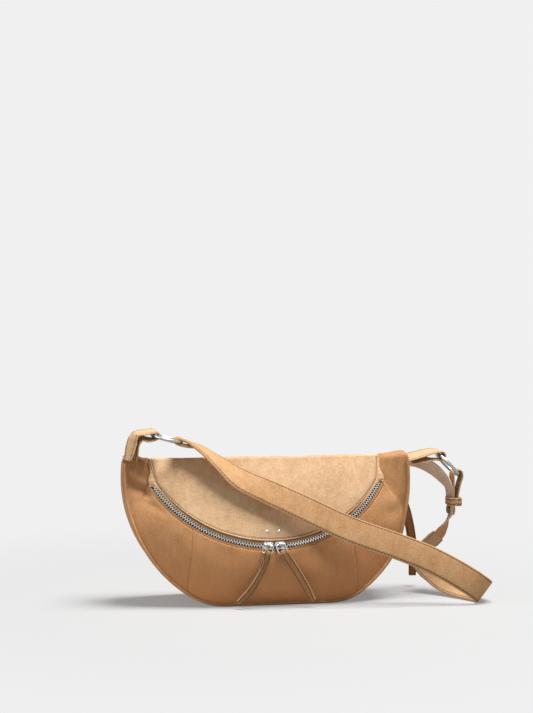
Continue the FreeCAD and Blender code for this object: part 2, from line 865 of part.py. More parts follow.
def path_edges(points, radii):
    """Lines and tangent arcs along a path."""
    edges = []
    start = points[0]
    for k in range(1, len(points) - 1):
        back = (points[k - 1] - points[k]).normalize()
        on = (points[k + 1] - points[k]).normalize()
        half_turn = back.getAngle(on) / 2
        run = radii[k - 1] / math.tan(half_turn)
        first, last = points[k] + back * run, points[k] + on * run
        bisector = (back + on).normalize()
        gap = radii[k - 1] / math.sin(half_turn) - radii[k - 1]
        if (first - start).Length > size.layer_gap / 100:
            edges.append(line_edge(start, first))
        else:
            first = start
        edges.append(arc_edge(first, points[k] + bisector * gap, last))
        start = last
    edges.append(line_edge(start, points[-1]))
    return edges


def band(points, radii, thickness, width):
    """Strip of leather along a path, centred on the XZ plane."""
    left, left_radii = shifted_path(points, radii, thickness / 2)
    right, right_radii = shifted_path(points, radii, -thickness / 2)
    edges = path_edges(left, left_radii)
    edges.append(line_edge(left[-1], right[-1]))
    edges += path_edges(right, right_radii)
    edges.append(line_edge(right[0], left[0]))
    face = Part.Face(Part.Wire(Part.__sortEdges__(edges)))
    strip = face.extrude(Y_AXIS * width)
    strip.translate(Y_AXIS * (-width / 2))
    return strip


# Rings, and the tabs that hold them on the horns
horn, _ = outline(seam_half)
ring_depth = (back_depth(size.horn_height) - size.horn_front) / 2
ring_wrap = size.ring_wire + size.ring_gap + size.tab_leather / 2
left_pin = V(-size.left_ring_reach, ring_depth, size.horn_height + size.left_ring_rise)
right_pin = V(half_width + size.right_ring_gap, ring_depth, size.horn_height + size.right_ring_rise)


def ring_run(tilt):
    """Direction across a ring, from its tab to its strap."""
    return V(cos(tilt), 0, -sin(tilt))


def ring_drift(tilt, width):
    """How far the ring's curve runs on from its pin line under a strip of a width."""
    sag = size.ring_radius - math.sqrt(size.ring_radius**2 - (width / 2)**2)
    return ring_run(tilt) * sag


def ring(label, pin, tilt):
    """Ring that hangs from its tab's pin line."""
    centre = pin + ring_run(tilt) * size.ring_radius
    obj = bound(
        "Part::Torus",
        label,
        at(centre, FreeCAD.Rotation(Y_AXIS, tilt)),
        Radius1="<<Sizes>>.ring_radius",
        Radius2="<<Sizes>>.ring_wire",
    )
    return keep(obj, label)


ring("left_ring", left_pin, size.left_ring_tilt)
ring("right_ring", right_pin, size.right_ring_tilt)
tab_place = at(V(0, ring_depth, 0))


def left_tab_path():
    """From the outside of the left horn, over and round the ring, and back to the horn."""
    lap_low, _ = outline(seam_half - size.tab_lap)
    outer = V(-lap_low.x - size.seam_gap - size.tab_leather / 2, 0, lap_low.z)
    drift = ring_drift(size.left_ring_tilt, size.tab_width)
    high = left_pin.z + ring_wrap
    low = left_pin.z - ring_wrap + drift.z
    turn = left_pin.x + ring_wrap + drift.x
    shoulder = size.horn_height + 2 * size.wall + size.layer_gap
    inner = -horn.x + size.tab_lap
    bend = -horn.x + size.tab_leather
    points = [
        outer,
        V(bend, 0, high),
        V(turn, 0, high),
        V(turn, 0, low),
        V(inner, 0, low),
        V(inner, 0, shoulder),
    ]
    return points, [size.tab_bend, ring_wrap, ring_wrap, size.tab_bend]


def right_tab_path():
    """From the outside of the right horn, round the ring, and back over the horn."""
    lap_low, _ = outline(seam_half - 2 * size.tab_lap)
    outer = half_width + size.seam_gap + size.tab_leather / 2
    drift = ring_drift(size.right_ring_tilt, size.tab_width)
    high = right_pin.z + ring_wrap
    low = right_pin.z - ring_wrap + drift.z
    turn = right_pin.x + ring_wrap + drift.x
    points = [
        V(outer, 0, lap_low.z),
        V(outer, 0, low),
        V(turn, 0, low),
        V(turn, 0, high),
        V(horn.x - size.tab_lap, 0, high),
    ]
    return points, [size.tab_bend, ring_wrap, ring_wrap]


shaped("left_tab", band(*left_tab_path(), size.tab_leather, size.tab_width), tab_place)
shaped("right_tab", band(*right_tab_path(), size.tab_leather, size.tab_width), tab_place)


# Shoulder strap: a ribbon through stations, each with the direction across it


def station(shares):
    """Place and cross direction of one station of the strap."""
    across, depth, height, widths, cross = shares
    place = V(
        across * half_width,
        depth * half_depth,
        height * size.horn_height + widths * size.strap_width,
    )
    return place, V(*cross)


def curve_through(points):
    """Smooth curve through a row of points."""
    curve = Part.BSplineCurve()
    curve.interpolate(Points=points)
    return curve


def ribbon_sections(stations, widths, low, high):
    """Closed rectangles along a ribbon, between two heights over its middle surface."""
    points = [place for place, _ in stations]
    curve = curve_through(points)
    values = [curve.parameter(point) for point in points]
    wires = []
    for k in range(len(points) - 1):
        last = k == len(points) - 2
        for step in range(STEPS_PER_STATION + last):
            part = step / STEPS_PER_STATION
            value = values[k] + (values[k + 1] - values[k]) * part
            run = curve.tangent(value)[0]
            cross = stations[k][1] * (1 - part) + stations[k + 1][1] * part
            cross = (cross - run * cross.dot(run)).normalize()
            face = run.cross(cross)
            reach = cross * ((widths[k] * (1 - part) + widths[k + 1] * part) / 2)
            place = curve.value(value)
            corners = [
                place - reach + face * low,
                place + reach + face * low,
                place + reach + face * high,
                place - reach + face * high,
            ]
            wires.append(Part.makePolygon(corners + corners[:1]))
    return wires


left_far = left_pin + ring_run(size.left_ring_tilt) * (2 * size.ring_radius)
fold_turn = FreeCAD.Rotation(Y_AXIS, size.fold_slope)
fold_run = fold_turn.multVec(X_AXIS)
fold_up = fold_turn.multVec(Z_AXIS)
strap_wrap = size.ring_wire + size.ring_gap + size.strap_face / 2
strap_start = left_far + fold_up * strap_wrap + fold_run * size.fold_lead
strap_stations = [
    (strap_start, Y_AXIS),
    (strap_start + fold_run * (size.fold_lead / 2), Y_AXIS),
] + [station(shares) for shares in STRAP_ROUTE_SHARES]
strap_widths = [size.strap_end_width] * 2
strap_widths += [(size.strap_end_width + size.strap_width) / 2]
strap_widths += [size.strap_width] * (len(strap_stations) - len(strap_widths))
fold_drift = ring_drift(size.left_ring_tilt - size.fold_slope, size.strap_end_width) * -1
fold = band(
    [
        V(size.fold_back, 0, fold_drift.z - strap_wrap),
        V(fold_drift.x - strap_wrap, 0, fold_drift.z - strap_wrap),
        V(fold_drift.x - strap_wrap, 0, strap_wrap),
        V(size.fold_lead, 0, strap_wrap),
    ],
    [strap_wrap, strap_wrap],
    size.strap_face,
    size.strap_end_width,
)
fold.Placement = at(left_far, fold_turn).multiply(fold.Placement)
half_face = size.strap_face / 2
strap_shape = loft(ribbon_sections(strap_stations, strap_widths, -half_face, half_face))
shaped("strap_face", strap_shape.fuse(fold).removeSplitter())
lining_top = -half_face - size.layer_gap
lining_low = lining_top - size.strap_lining_wall
lining_sections = ribbon_sections(strap_stations, strap_widths, lining_low, lining_top)
shaped("strap_lining", loft(lining_sections[STEPS_PER_STATION:]))

# Right ring's chape, the holed tail beside it, the keeper round both and the stud through both
right_far = right_pin + ring_run(size.right_ring_tilt) * (2 * size.ring_radius)
chape_drift = ring_drift(size.right_ring_tilt, size.tail_width) * -1
chape_leg = chape_drift.x - ring_wrap
chape_top = chape_drift.z + ring_wrap
tail_side = right_far.x + chape_leg - size.tab_leather / 2 - size.strap_gap - size.tail_leather / 2
stud_height = right_far.z - size.strap_stud_drop
keeper_height = right_far.z - size.keeper_drop


def bore_along_x(radius, height):
    """Cylinder across the tail and the chape at a height."""
    return Part.makeCylinder(
        radius,
        4 * size.overrun,
        V(right_far.x - 3 * size.overrun, ring_depth, height),
        X_AXIS,
    )


chape = band(
    [
        V(ring_wrap, 0, -size.chape_outer),
        V(ring_wrap, 0, chape_top),
        V(chape_leg, 0, chape_top),
        V(chape_leg, 0, -size.chape_inner),
    ],
    [ring_wrap, ring_wrap],
    size.tab_leather,
    size.tail_width,
)
chape.Placement = at(right_far).multiply(chape.Placement)
stud_bore = bore_along_x(size.strap_stud_neck + size.layer_gap, stud_height)
shaped("right_chape", chape.cut(stud_bore))


def tail_station(shares):
    """Place and cross direction of one station of the tail."""
    across, depth, widths, cross = shares
    place = V(
        tail_side + across * half_width,
        depth * half_depth,
        right_far.z + widths * size.strap_width,
    )
    return place, V(*cross)


tail_straight = [
    (V(tail_side, ring_depth, stud_height - size.strap_stud_head), Y_AXIS),
    (V(tail_side, ring_depth, stud_height), Y_AXIS),
    (V(tail_side, ring_depth, keeper_height), Y_AXIS),
    (V(tail_side, ring_depth, keeper_height + size.keeper_height), Y_AXIS),
]
strap_end, strap_end_cross = strap_stations[-1]
strap_curve = curve_through([place for place, _ in strap_stations])
strap_end_run = strap_curve.tangent(strap_curve.LastParameter)[0].normalize()
tail_stations = [
    (strap_end + strap_end_run * (size.strap_gap + 2 * size.seam_gap), strap_end_cross),
    (strap_end + strap_end_run * (size.fold_lead / 2), strap_end_cross),
]
tail_bend = strap_end + (tail_straight[0][0] - strap_end) * TAIL_BEND_SHARE
tail_stations.append((tail_bend, V(*TAIL_BEND_CROSS_SHARES)))
tail_stations += tail_straight
tail_stations += [tail_station(shares) for shares in TAIL_HIGH_SHARES]
tail = loft(ribbon_sections(
    tail_stations,
    [size.tail_width] * len(tail_stations),
    -size.tail_leather / 2,
    size.tail_leather / 2,
))
tail = tail.cut(stud_bore)
tail = tail.cut(bore_along_x(size.hole_radius, keeper_height + size.hole_pitch))
shaped("strap_tail", tail)


def strap_stud():
    """Stud with a head each side of the tail and the chape."""
    neck_start = tail_side - size.tail_leather / 2 - size.layer_gap
    neck_end = right_far.x + chape_leg + size.tab_leather / 2 + size.layer_gap
    flange = size.strap_stud_neck
    neck = Part.makeCylinder(
        size.strap_stud_neck,
        neck_end - neck_start + 2 * flange,
        V(neck_start - flange, ring_depth, stud_height),
        X_AXIS,
    )
    for start in (neck_start - flange, neck_end):
        head = Part.makeCylinder(
            size.strap_stud_head, flange, V(start, ring_depth, stud_height), X_AXIS
        )
        neck = neck.fuse(head)
    return neck.removeSplitter()


shaped("strap_stud", strap_stud())

keeper_left = tail_side - size.tail_leather / 2 - size.strap_gap
keeper_right = right_far.x + ring_wrap + size.tab_leather / 2 + size.strap_gap
keeper_reach = size.tail_width / 2 + size.strap_gap


def keeper():
    """Loop of leather round the tail and the chape."""
    inner_size = V(keeper_right - keeper_left, 2 * keeper_reach, size.keeper_height)
    corner = V(keeper_left, ring_depth - keeper_reach, keeper_height - size.keeper_height / 2)
    wall = V(size.keeper_wall, size.keeper_wall, 0)
    outer_size = inner_size + wall * 2
    outer = Part.makeBox(outer_size.x, outer_size.y, outer_size.z, corner - wall)
    upright = [edge for edge in outer.Edges if abs(edge.tangentAt(edge.FirstParameter).z) > 0.5]
    outer = outer.makeFillet(size.keeper_wall, upright)
    inner = Part.makeBox(inner_size.x, inner_size.y, inner_size.z, corner)
    return outer.cut(inner)


shaped("strap_keeper", keeper())


# Sliders, their wire links and the leather pulls


def slider(label, place):
    """Slider in its own frame: X along the chain, Y across it and Z out of the tape."""
    base = size.teeth_thickness / 2 + size.slider_gap
    low = size.tape_thickness / 2 + size.slider_gap
    half_across = size.slider_width / 2
    plate = Part.makeBox(
        size.slider_length,
        size.slider_width,
        size.slider_plate,
        V(-size.slider_length / 2, -half_across, base),
    )
    upright = [edge for edge in plate.Edges if abs(edge.tangentAt(edge.FirstParameter).z) > 0.5]
    body = plate.makeFillet(size.slider_plate, upright)
    for start in (-half_across, half_across - size.slider_flange):
        body = body.fuse(Part.makeBox(
            size.slider_length - 2 * size.slider_plate,
            size.slider_flange,
            base - low,
            V(size.slider_plate - size.slider_length / 2, start, low),
        ))
    axis_rise = base + size.slider_plate + size.bail_bore
    start = V(-size.bail_length / 2, 0, axis_rise)
    bail = Part.makeCylinder(size.bail_radius, size.bail_length, start, X_AXIS)
    bore = Part.makeCylinder(size.bail_bore, size.bail_length, start, X_AXIS)
    body = body.fuse(bail.cut(bore)).removeSplitter()
    return shaped(label, body, place), axis_rise


def link(label, length, width, place):
    """Rounded wire loop that hangs from its upper bar, in the XZ plane."""
    radius = size.link_wire
    half = width / 2
    corners = [V(0, 0, 0), V(half, 0, 0), V(half, 0, -length), V(-half, 0, -length), V(-half, 0, 0)]
    edges = path_edges(corners + [V(0, 0, 0)], [radius] * 4)
    circle = Part.Wire(Part.makeCircle(size.link_wire / 2, V(), X_AXIS))
    loop = Part.Wire(edges).makePipeShell([circle], True, False)
    return shaped(label, loop, place)


def pull(label, length, width, place):
    """Doubled leather strip folded round the link's lower bar, in the YZ plane."""
    wrap = size.link_wire / 2 + size.pull_slack + size.pull_leather / 2
    close = size.pull_leather / 2 + size.layer_gap / 2
    neck = 4 * wrap
    path = [
        V(-close, 0, -length),
        V(-close, 0, -neck),
        V(-wrap, 0, -wrap),
        V(-wrap, 0, wrap),
        V(wrap, 0, wrap),
        V(wrap, 0, -wrap),
        V(close, 0, -neck),
        V(close, 0, -length),
    ]
    strip = band(path, [wrap, wrap, wrap, wrap, wrap, wrap], size.pull_leather, width)
    strip.rotate(V(), Z_AXIS, RIGHT_ANGLE)
    return shaped(label, strip, place)


def dressed_slider(side, place, link_sizes, link_turn, pull_sizes, pull_turn):
    """Slider with its link and pull, each turned from hanging straight down."""
    _, rise = slider(f"{side}_slider", place)
    eye = place.multVec(V(0, 0, rise))
    link_place = at(eye, link_turn)
    link(f"{side}_link", *link_sizes, link_place)
    bar = link_place.multVec(V(0, 0, -link_sizes[0]))
    pull(f"{side}_pull", *pull_sizes, at(bar, pull_turn))
    print(f"{side} eye: {eye.x:.3f} {eye.y:.3f} {eye.z:.3f}")


def hang(lean, splay):
    """Rotation that leans a hanging piece to the front and splays it along the bag."""
    return FreeCAD.Rotation(X_AXIS, -lean).multiply(FreeCAD.Rotation(Y_AXIS, -splay))


for side, label in ((-1, "left"), (1, "right")):
    turn = side * size.slider_angle
    place = flap_place.multiply(at(V(), FreeCAD.Rotation(Z_AXIS, turn)))
    place = place.multiply(at(V(0, -size.zip_radius, 0)))
    dressed_slider(
        label,
        place,
        (size.link_length, size.link_width),
        hang(size.link_lean, side * size.link_splay),
        (size.pull_length, size.pull_width),
        hang(size.pull_lean, side * size.pull_splay),
    )

back_turn = FreeCAD.Rotation(Z_AXIS, 2 * RIGHT_ANGLE).multiply(FreeCAD.Rotation(X_AXIS, RIGHT_ANGLE))
back_slider_place = back_place.multiply(
    at(V(size.back_slider_place, -size.wall / 2, back_zip_height), back_turn)
)
dressed_slider(
    "back",
    back_slider_place,
    (size.back_link_length, size.back_link_width),
    hang(-size.back_link_lean, size.back_link_splay),
    (size.back_pull_length, size.back_pull_width),
    hang(-size.back_pull_lean, size.back_pull_splay),
)

doc.recompute()
for obj in doc.Objects:
    if "Invalid" in obj.State or "Error" in obj.State:
        raise RuntimeError(f"{obj.Label} failed: {obj.State}")
broken = [
    obj.Label
    for obj in nodes
    if obj.Shape.isNull() or not obj.Shape.isValid() or not obj.Shape.Solids
]
if broken:
    raise RuntimeError("no valid solid: " + ", ".join(broken))

os.makedirs("parts", exist_ok=True)
for obj in nodes:
    obj.Shape.exportStep(f"parts/{obj.Label}.step")
    box = obj.Shape.BoundBox
    print(
        f"{obj.Label}: {len(obj.Shape.Solids)} solids, {obj.Shape.Volume:.1f} mm3, "
        f"X {box.XMin:.1f}..{box.XMax:.1f} Y {box.YMin:.1f}..{box.YMax:.1f} "
        f"Z {box.ZMin:.1f}..{box.ZMax:.1f}"
    )
pins = {"left pin": left_pin, "right pin": right_pin, "hinge": hinge_point, "zip centre": zip_centre}
for name, point in pins.items():
    print(f"{name}: {point.x:.3f} {point.y:.3f} {point.z:.3f}")
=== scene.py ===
import logging
import math
from collections.abc import Callable, Sequence
from dataclasses import dataclass, field
from enum import Enum

import bmesh
import bpy
from mathutils import Euler, Matrix, Vector, noise


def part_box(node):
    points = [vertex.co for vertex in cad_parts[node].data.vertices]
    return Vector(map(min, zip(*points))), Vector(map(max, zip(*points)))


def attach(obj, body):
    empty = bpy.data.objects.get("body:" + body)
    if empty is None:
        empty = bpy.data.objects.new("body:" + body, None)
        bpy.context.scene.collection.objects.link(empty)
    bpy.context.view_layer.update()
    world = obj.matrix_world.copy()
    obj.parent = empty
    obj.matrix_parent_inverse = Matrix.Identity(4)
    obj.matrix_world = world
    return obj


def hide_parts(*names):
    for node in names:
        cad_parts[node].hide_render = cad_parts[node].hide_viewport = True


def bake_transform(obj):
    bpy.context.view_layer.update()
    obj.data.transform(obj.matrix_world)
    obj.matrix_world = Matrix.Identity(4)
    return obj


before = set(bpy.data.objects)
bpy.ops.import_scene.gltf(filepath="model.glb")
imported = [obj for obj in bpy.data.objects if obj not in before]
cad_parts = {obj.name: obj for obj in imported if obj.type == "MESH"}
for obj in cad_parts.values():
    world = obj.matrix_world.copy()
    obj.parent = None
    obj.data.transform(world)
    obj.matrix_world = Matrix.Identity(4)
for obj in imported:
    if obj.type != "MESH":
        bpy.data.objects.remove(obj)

LOG = logging.getLogger("half_moon_bag")
MM = 0.001
WAVES_PER_SCALE = 6.3
UP = Vector((0, 0, 1))
BACK = Vector((0, 1, 0))
Colour = tuple[float, float, float, float]
Pair = tuple[float, float]
Triple = tuple[float, float, float]
Material = bpy.types.Material
Station = tuple[Vector, Vector, float]
Sample = tuple[Vector, Vector, Vector, float, float]
Place = Callable[[float, float], Vector]
Measure = Callable[[float, float], Pair]


class Body(Enum):
    """Moving bodies that the new pieces ride on."""

    BAG = "bag"
    FLAP = "flap"
    STRAP = "strap"
    LEFT_PULL = "left_pull"
    RIGHT_PULL = "right_pull"
    BACK_PULL = "back_pull"
    KEEPER = "keeper"


def smooth(value: float, low: float, high: float) -> float:
    """Return a smooth step from 0 at low to 1 at high."""
    share = min(1.0, max(0.0, (value - low) / (high - low)))
    return share * share * (3 - 2 * share)


def hump(value: float, width: float) -> float:
    """Return a bell of height 1 at zero."""
    return math.exp(-((value / width) ** 2))


def arch(share: float) -> float:
    """Return a half wave: 0 at the shares 0 and 1, and 1 between them."""
    return math.sin(math.pi * share)


@dataclass(frozen=True)
class Ripple:
    """Unevenness of soft leather: its height, its features for a metre both ways, and its seed."""

    height: float
    first: float
    second: float
    seed: float

    def at(self, first: float, second: float) -> float:
        """Return the unevenness at a place."""
        return self.height * noise.noise(Vector((first * self.first, second * self.second, self.seed)))


def from_end(across: float) -> float:
    """Return how far a share is from the nearer of its two ends."""
    return min(across, 1 - across)


def new_piece(mesh: bmesh.types.BMesh, name: str, *materials: Material) -> bpy.types.Object:
    """Turn a mesh under construction into an object of the scene.

    Args:
        mesh: the mesh, which is used up.
        name: the object's name.
        materials: its finishes.

    Returns:
        The object.
    """
    data = bpy.data.meshes.new(name)
    mesh.to_mesh(data)
    mesh.free()
    for material in materials:
        data.materials.append(material)
    piece = bpy.data.objects.new(name, data)
    bpy.context.scene.collection.objects.link(piece)
    return piece


class Shade:
    """A shader socket that takes part in Python expressions."""

    def __init__(self, tree: bpy.types.NodeTree, socket: bpy.types.NodeSocket) -> None:
        """Keep the tree and the socket."""
        self.tree = tree
        self.socket = socket

    def math(self, operation: str, *values: "Shade | float") -> "Shade":
        """Add a Math node.

        Args:
            operation: the node's operation.
            values: its inputs, as sockets or numbers.

        Returns:
            The node's output.
        """
        node = self.tree.nodes.new("ShaderNodeMath")
        node.operation = operation
        for slot, value in zip(node.inputs, values):
            join(self.tree, slot, value)
        return Shade(self.tree, node.outputs[0])

    def __add__(self, other: "Shade | float") -> "Shade":
        """Add."""
        return self.math("ADD", self, other)

    __radd__ = __add__

    def __mul__(self, other: "Shade | float") -> "Shade":
        """Multiply."""
        return self.math("MULTIPLY", self, other)

    __rmul__ = __mul__

    def __sub__(self, other: "Shade | float") -> "Shade":
        """Subtract."""
        return self.math("SUBTRACT", self, other)

    def __rsub__(self, other: float) -> "Shade":
        """Subtract from a number."""
        return self.math("SUBTRACT", other, self)

    def __truediv__(self, other: "Shade | float") -> "Shade":
        """Divide."""
        return self.math("DIVIDE", self, other)

    def band(self, middle: float, width: float) -> "Shade":
        """Return a soft band around a value.

        Args:
            middle: where the band is strongest.
            width: its half width.

        Returns:
            1 in the middle, falling to 0 at the half width.
        """
        away = self.math("ABSOLUTE", self - middle)
        return self.math("MAXIMUM", 1 - away / width, 0.0)

    def step(self, low: float, high: float) -> "Shade":
        """Return a smooth step between two values."""
        node = self.tree.nodes.new("ShaderNodeMapRange")
        node.interpolation_type = "SMOOTHSTEP"
        join(self.tree, node.inputs[0], self)
        node.inputs[1].default_value = low
        node.inputs[2].default_value = high
        return Shade(self.tree, node.outputs[0])


def join(tree: bpy.types.NodeTree, slot: bpy.types.NodeSocket, value: object) -> None:
    """Link a socket or set its value.

    Args:
        tree: the tree that holds the nodes.
        slot: the input.
        value: a Shade to link, or a plain value.
    """
    if isinstance(value, Shade):
        tree.links.new(value.socket, slot)
    else:
        slot.default_value = value


class Coat:
    """A material under construction, with its Principled shader."""

    def __init__(self, name: str) -> None:
        """Make the material and its two end nodes."""
        self.material = bpy.data.materials.new(name)
        self.material.use_nodes = True
        self.tree = self.material.node_tree
        self.tree.nodes.clear()
        self.output = self.tree.nodes.new("ShaderNodeOutputMaterial")
        self.shader = self.tree.nodes.new("ShaderNodeBsdfPrincipled")
        self.tree.links.new(self.shader.outputs[0], self.output.inputs[0])

    def node(self, kind: str, settings: dict | None = None, out: int | str = 0, **inputs: object) -> Shade:
        """Add any node.

        Args:
            kind: the node's type.
            settings: properties set before its inputs.
            out: which output to return.
            inputs: values or links by socket name, with underscores for spaces.

        Returns:
            The chosen output.
        """
        made = self.tree.nodes.new(kind)
        for key, value in (settings or {}).items():
            setattr(made, key, value)
        for key, value in inputs.items():
            join(self.tree, made.inputs[key.replace("_", " ")], value)
        return Shade(self.tree, made.outputs[out])

    def mix(self, factor: Shade | float, first: object, second: object) -> Shade:
        """Mix two colours.

        Args:
            factor: share of the second.
            first: colour or link.
            second: colour or link.

        Returns:
            The mixed colour.
        """
        made = self.tree.nodes.new("ShaderNodeMix")
        made.data_type = "RGBA"
        join(self.tree, made.inputs[0], factor)
        join(self.tree, made.inputs[6], first)
        join(self.tree, made.inputs[7], second)
        return Shade(self.tree, made.outputs[2])

    def object_noise(self, scale: float, detail: float, stretch: Sequence[float] = (1, 1, 1)) -> Shade:
        """Return a noise in the object's own space.

        Args:
            scale: features for a metre.
            detail: octaves.
            stretch: factors along the axes.

        Returns:
            The noise's value.
        """
        where = self.node("ShaderNodeTexCoord", out="Object")
        spread = self.node("ShaderNodeMapping", Vector=where, Scale=tuple(stretch))
        return self.node("ShaderNodeTexNoise", Vector=spread, Scale=scale, Detail=detail)

    def height(self) -> Shade:
        """Return the height over the floor at rest, in metres."""
        made = self.tree.nodes.new("ShaderNodeSeparateXYZ")
        join(self.tree, made.inputs[0], self.node("ShaderNodeTexCoord", out="Object"))
        return Shade(self.tree, made.outputs[2])

    def edge(self) -> tuple[Shade, Shade]:
        """Return the length along a piece and the distance from its sewn edge, in metres."""
        where = self.node("ShaderNodeUVMap", {"uv_map": "sewing"})
        made = self.tree.nodes.new("ShaderNodeSeparateXYZ")
        join(self.tree, made.inputs[0], where)
        return Shade(self.tree, made.outputs[0]), Shade(self.tree, made.outputs[1])

    def bump(self, height: Shade, strength: float, distance: float) -> None:
        """Feed a height to the shader's normal."""
        made = self.node("ShaderNodeBump", Height=height, Strength=strength, Distance=distance)
        self.set(Normal=made)

    def set(self, **inputs: object) -> None:
        """Set or link the shader's inputs by name."""
        for key, value in inputs.items():
            join(self.tree, self.shader.inputs[key.replace("_", " ")], value)


@dataclass(frozen=True)
class Suede:
    """Napped leather, with a sewn edge where the piece has one."""

    name: str
    # Painted light: the default deep and pale colours are the paler, lit copy of the leather, made for the
    # flap.
    deep: Colour = (0.5, 0.29, 0.145, 1)
    pale: Colour = (0.72, 0.485, 0.29, 1)
    thread: Colour = (0.12, 0.055, 0.022, 1)
    # Painted shade: the deeper, more saturated orange towards the bottom, and the height up to which it is
    # mixed in.
    painted_shade_tint: Colour = (0.6, 0.255, 0.094, 1)
    painted_shade_height: float = 0.0
    seam_inset: float = 2.2 * MM
    stitch_length: float = 3.5 * MM
    sewn: bool = False
    nap: float = 0.55
    # Painted highlight: the paler colour along a sewn edge.
    lip: Colour = (0.66, 0.43, 0.25, 1)
    sheen: Colour = (0.95, 0.8, 0.62, 1)

    def make(self) -> Material:
        """Build the material."""
        coat = Coat(self.name)
        cloud = coat.object_noise(26, 4)
        brushed = coat.object_noise(170, 4, (1, 1, 0.35))
        fibre = coat.object_noise(1500, 3)
        grain = coat.object_noise(620, 2)
        tone = cloud * 0.3 + brushed * 0.25 + grain * 0.35 + fibre * 0.25
        colour = coat.mix(tone.step(0.4, 0.74), self.deep, self.pale)
        # Painted shade: towards the bottom the colour is mixed towards a deeper, more saturated orange.
        if self.painted_shade_height:
            painted_shade_share = 1 - (coat.height() + cloud * 0.03).step(0.0, self.painted_shade_height)
            colour = coat.mix(painted_shade_share * 0.85, colour, self.painted_shade_tint)
        height = fibre * 0.5 + brushed * 0.6 + grain * 0.7
        rough = 0.86 + brushed * 0.1
        if self.sewn:
            along, inset = coat.edge()
            stitch = along / self.stitch_length
            dash = stitch.math("FRACT", stitch).band(0.5, 0.42).step(0.0, 0.3)
            thread = inset.band(self.seam_inset, 0.95 * MM).step(0.2, 0.6) * dash
            groove = inset.band(self.seam_inset, 1.5 * MM)
            # Painted highlight: the sewn edge is mixed towards a paler colour.
            lip = 1 - inset.step(0.2 * MM, 1.4 * MM)
            colour = coat.mix(lip * 0.35, colour, self.lip)
            # Painted shade: the stitch groove is darkened towards the thread colour; the groove is also
            # bumped in.
            colour = coat.mix(groove * 0.35, colour, self.thread)
            colour = coat.mix(thread * 0.85, colour, self.thread)
            height = height * 0.5 + thread * 0.6 - groove * 1.6
        coat.set(Base_Color=colour, Roughness=rough, Sheen_Weight=0.22, Sheen_Roughness=0.45)
        coat.set(Sheen_Tint=self.sheen, Specular_IOR_Level=0.2)
        coat.bump(height, self.nap, 0.35 * MM)
        return coat.material


@dataclass(frozen=True)
class Plated:
    """Polished plated metal with faint wear."""

    name: str
    tint: Colour = (0.5, 0.49, 0.475, 1)
    worn: Colour = (0.26, 0.25, 0.235, 1)
    roughness: float = 0.16

    def make(self) -> Material:
        """Build the material."""
        coat = Coat(self.name)
        smear = coat.object_noise(160, 4)
        scuff = coat.object_noise(900, 3, (1, 1, 0.2))
        coat.set(Base_Color=coat.mix(smear.step(0.5, 0.8) * 0.5, self.tint, self.worn))
        coat.set(Roughness=self.roughness + smear * 0.1 + scuff * 0.06, Metallic=1.0)
        coat.bump(scuff, 0.06, 0.1 * MM)
        return coat.material


@dataclass(frozen=True)
class Woven:
    """Plain woven cloth for linings and zip tapes."""

    name: str
    deep: Colour
    pale: Colour
    threads: float = 1600

    def make(self) -> Material:
        """Build the material."""
        coat = Coat(self.name)
        where = coat.node("ShaderNodeTexCoord", out="Object")
        scale = self.threads / WAVES_PER_SCALE
        warp, weft = (
            coat.node("ShaderNodeTexWave", {"bands_direction": way}, 1, Vector=where, Scale=scale)
            for way in ("X", "Z")
        )
        weave = warp * weft
        cloud = coat.object_noise(40, 3)
        colour = coat.mix(weave * 0.6 + cloud * 0.4, self.deep, self.pale)
        coat.set(Base_Color=colour, Roughness=0.8 + weave * 0.1)
        coat.bump(weave, 0.35, 0.15 * MM)
        return coat.material


@dataclass(frozen=True)
class Moulded:
    """Matt moulded board."""

    name: str
    tint: Colour = (0.05, 0.045, 0.04, 1)
    fleck: Colour = (0.09, 0.08, 0.07, 1)

    def make(self) -> Material:
        """Build the material."""
        coat = Coat(self.name)
        grain = coat.object_noise(700, 3)
        coat.set(Base_Color=coat.mix(grain, self.tint, self.fleck), Roughness=0.6 + grain * 0.2)
        coat.bump(grain, 0.2, 0.2 * MM)
        return coat.material


def finish(kind: Suede | Plated | Woven | Moulded) -> Material:
    """Return a field whose material is made along with the other finishes."""
    return field(default_factory=kind.make)


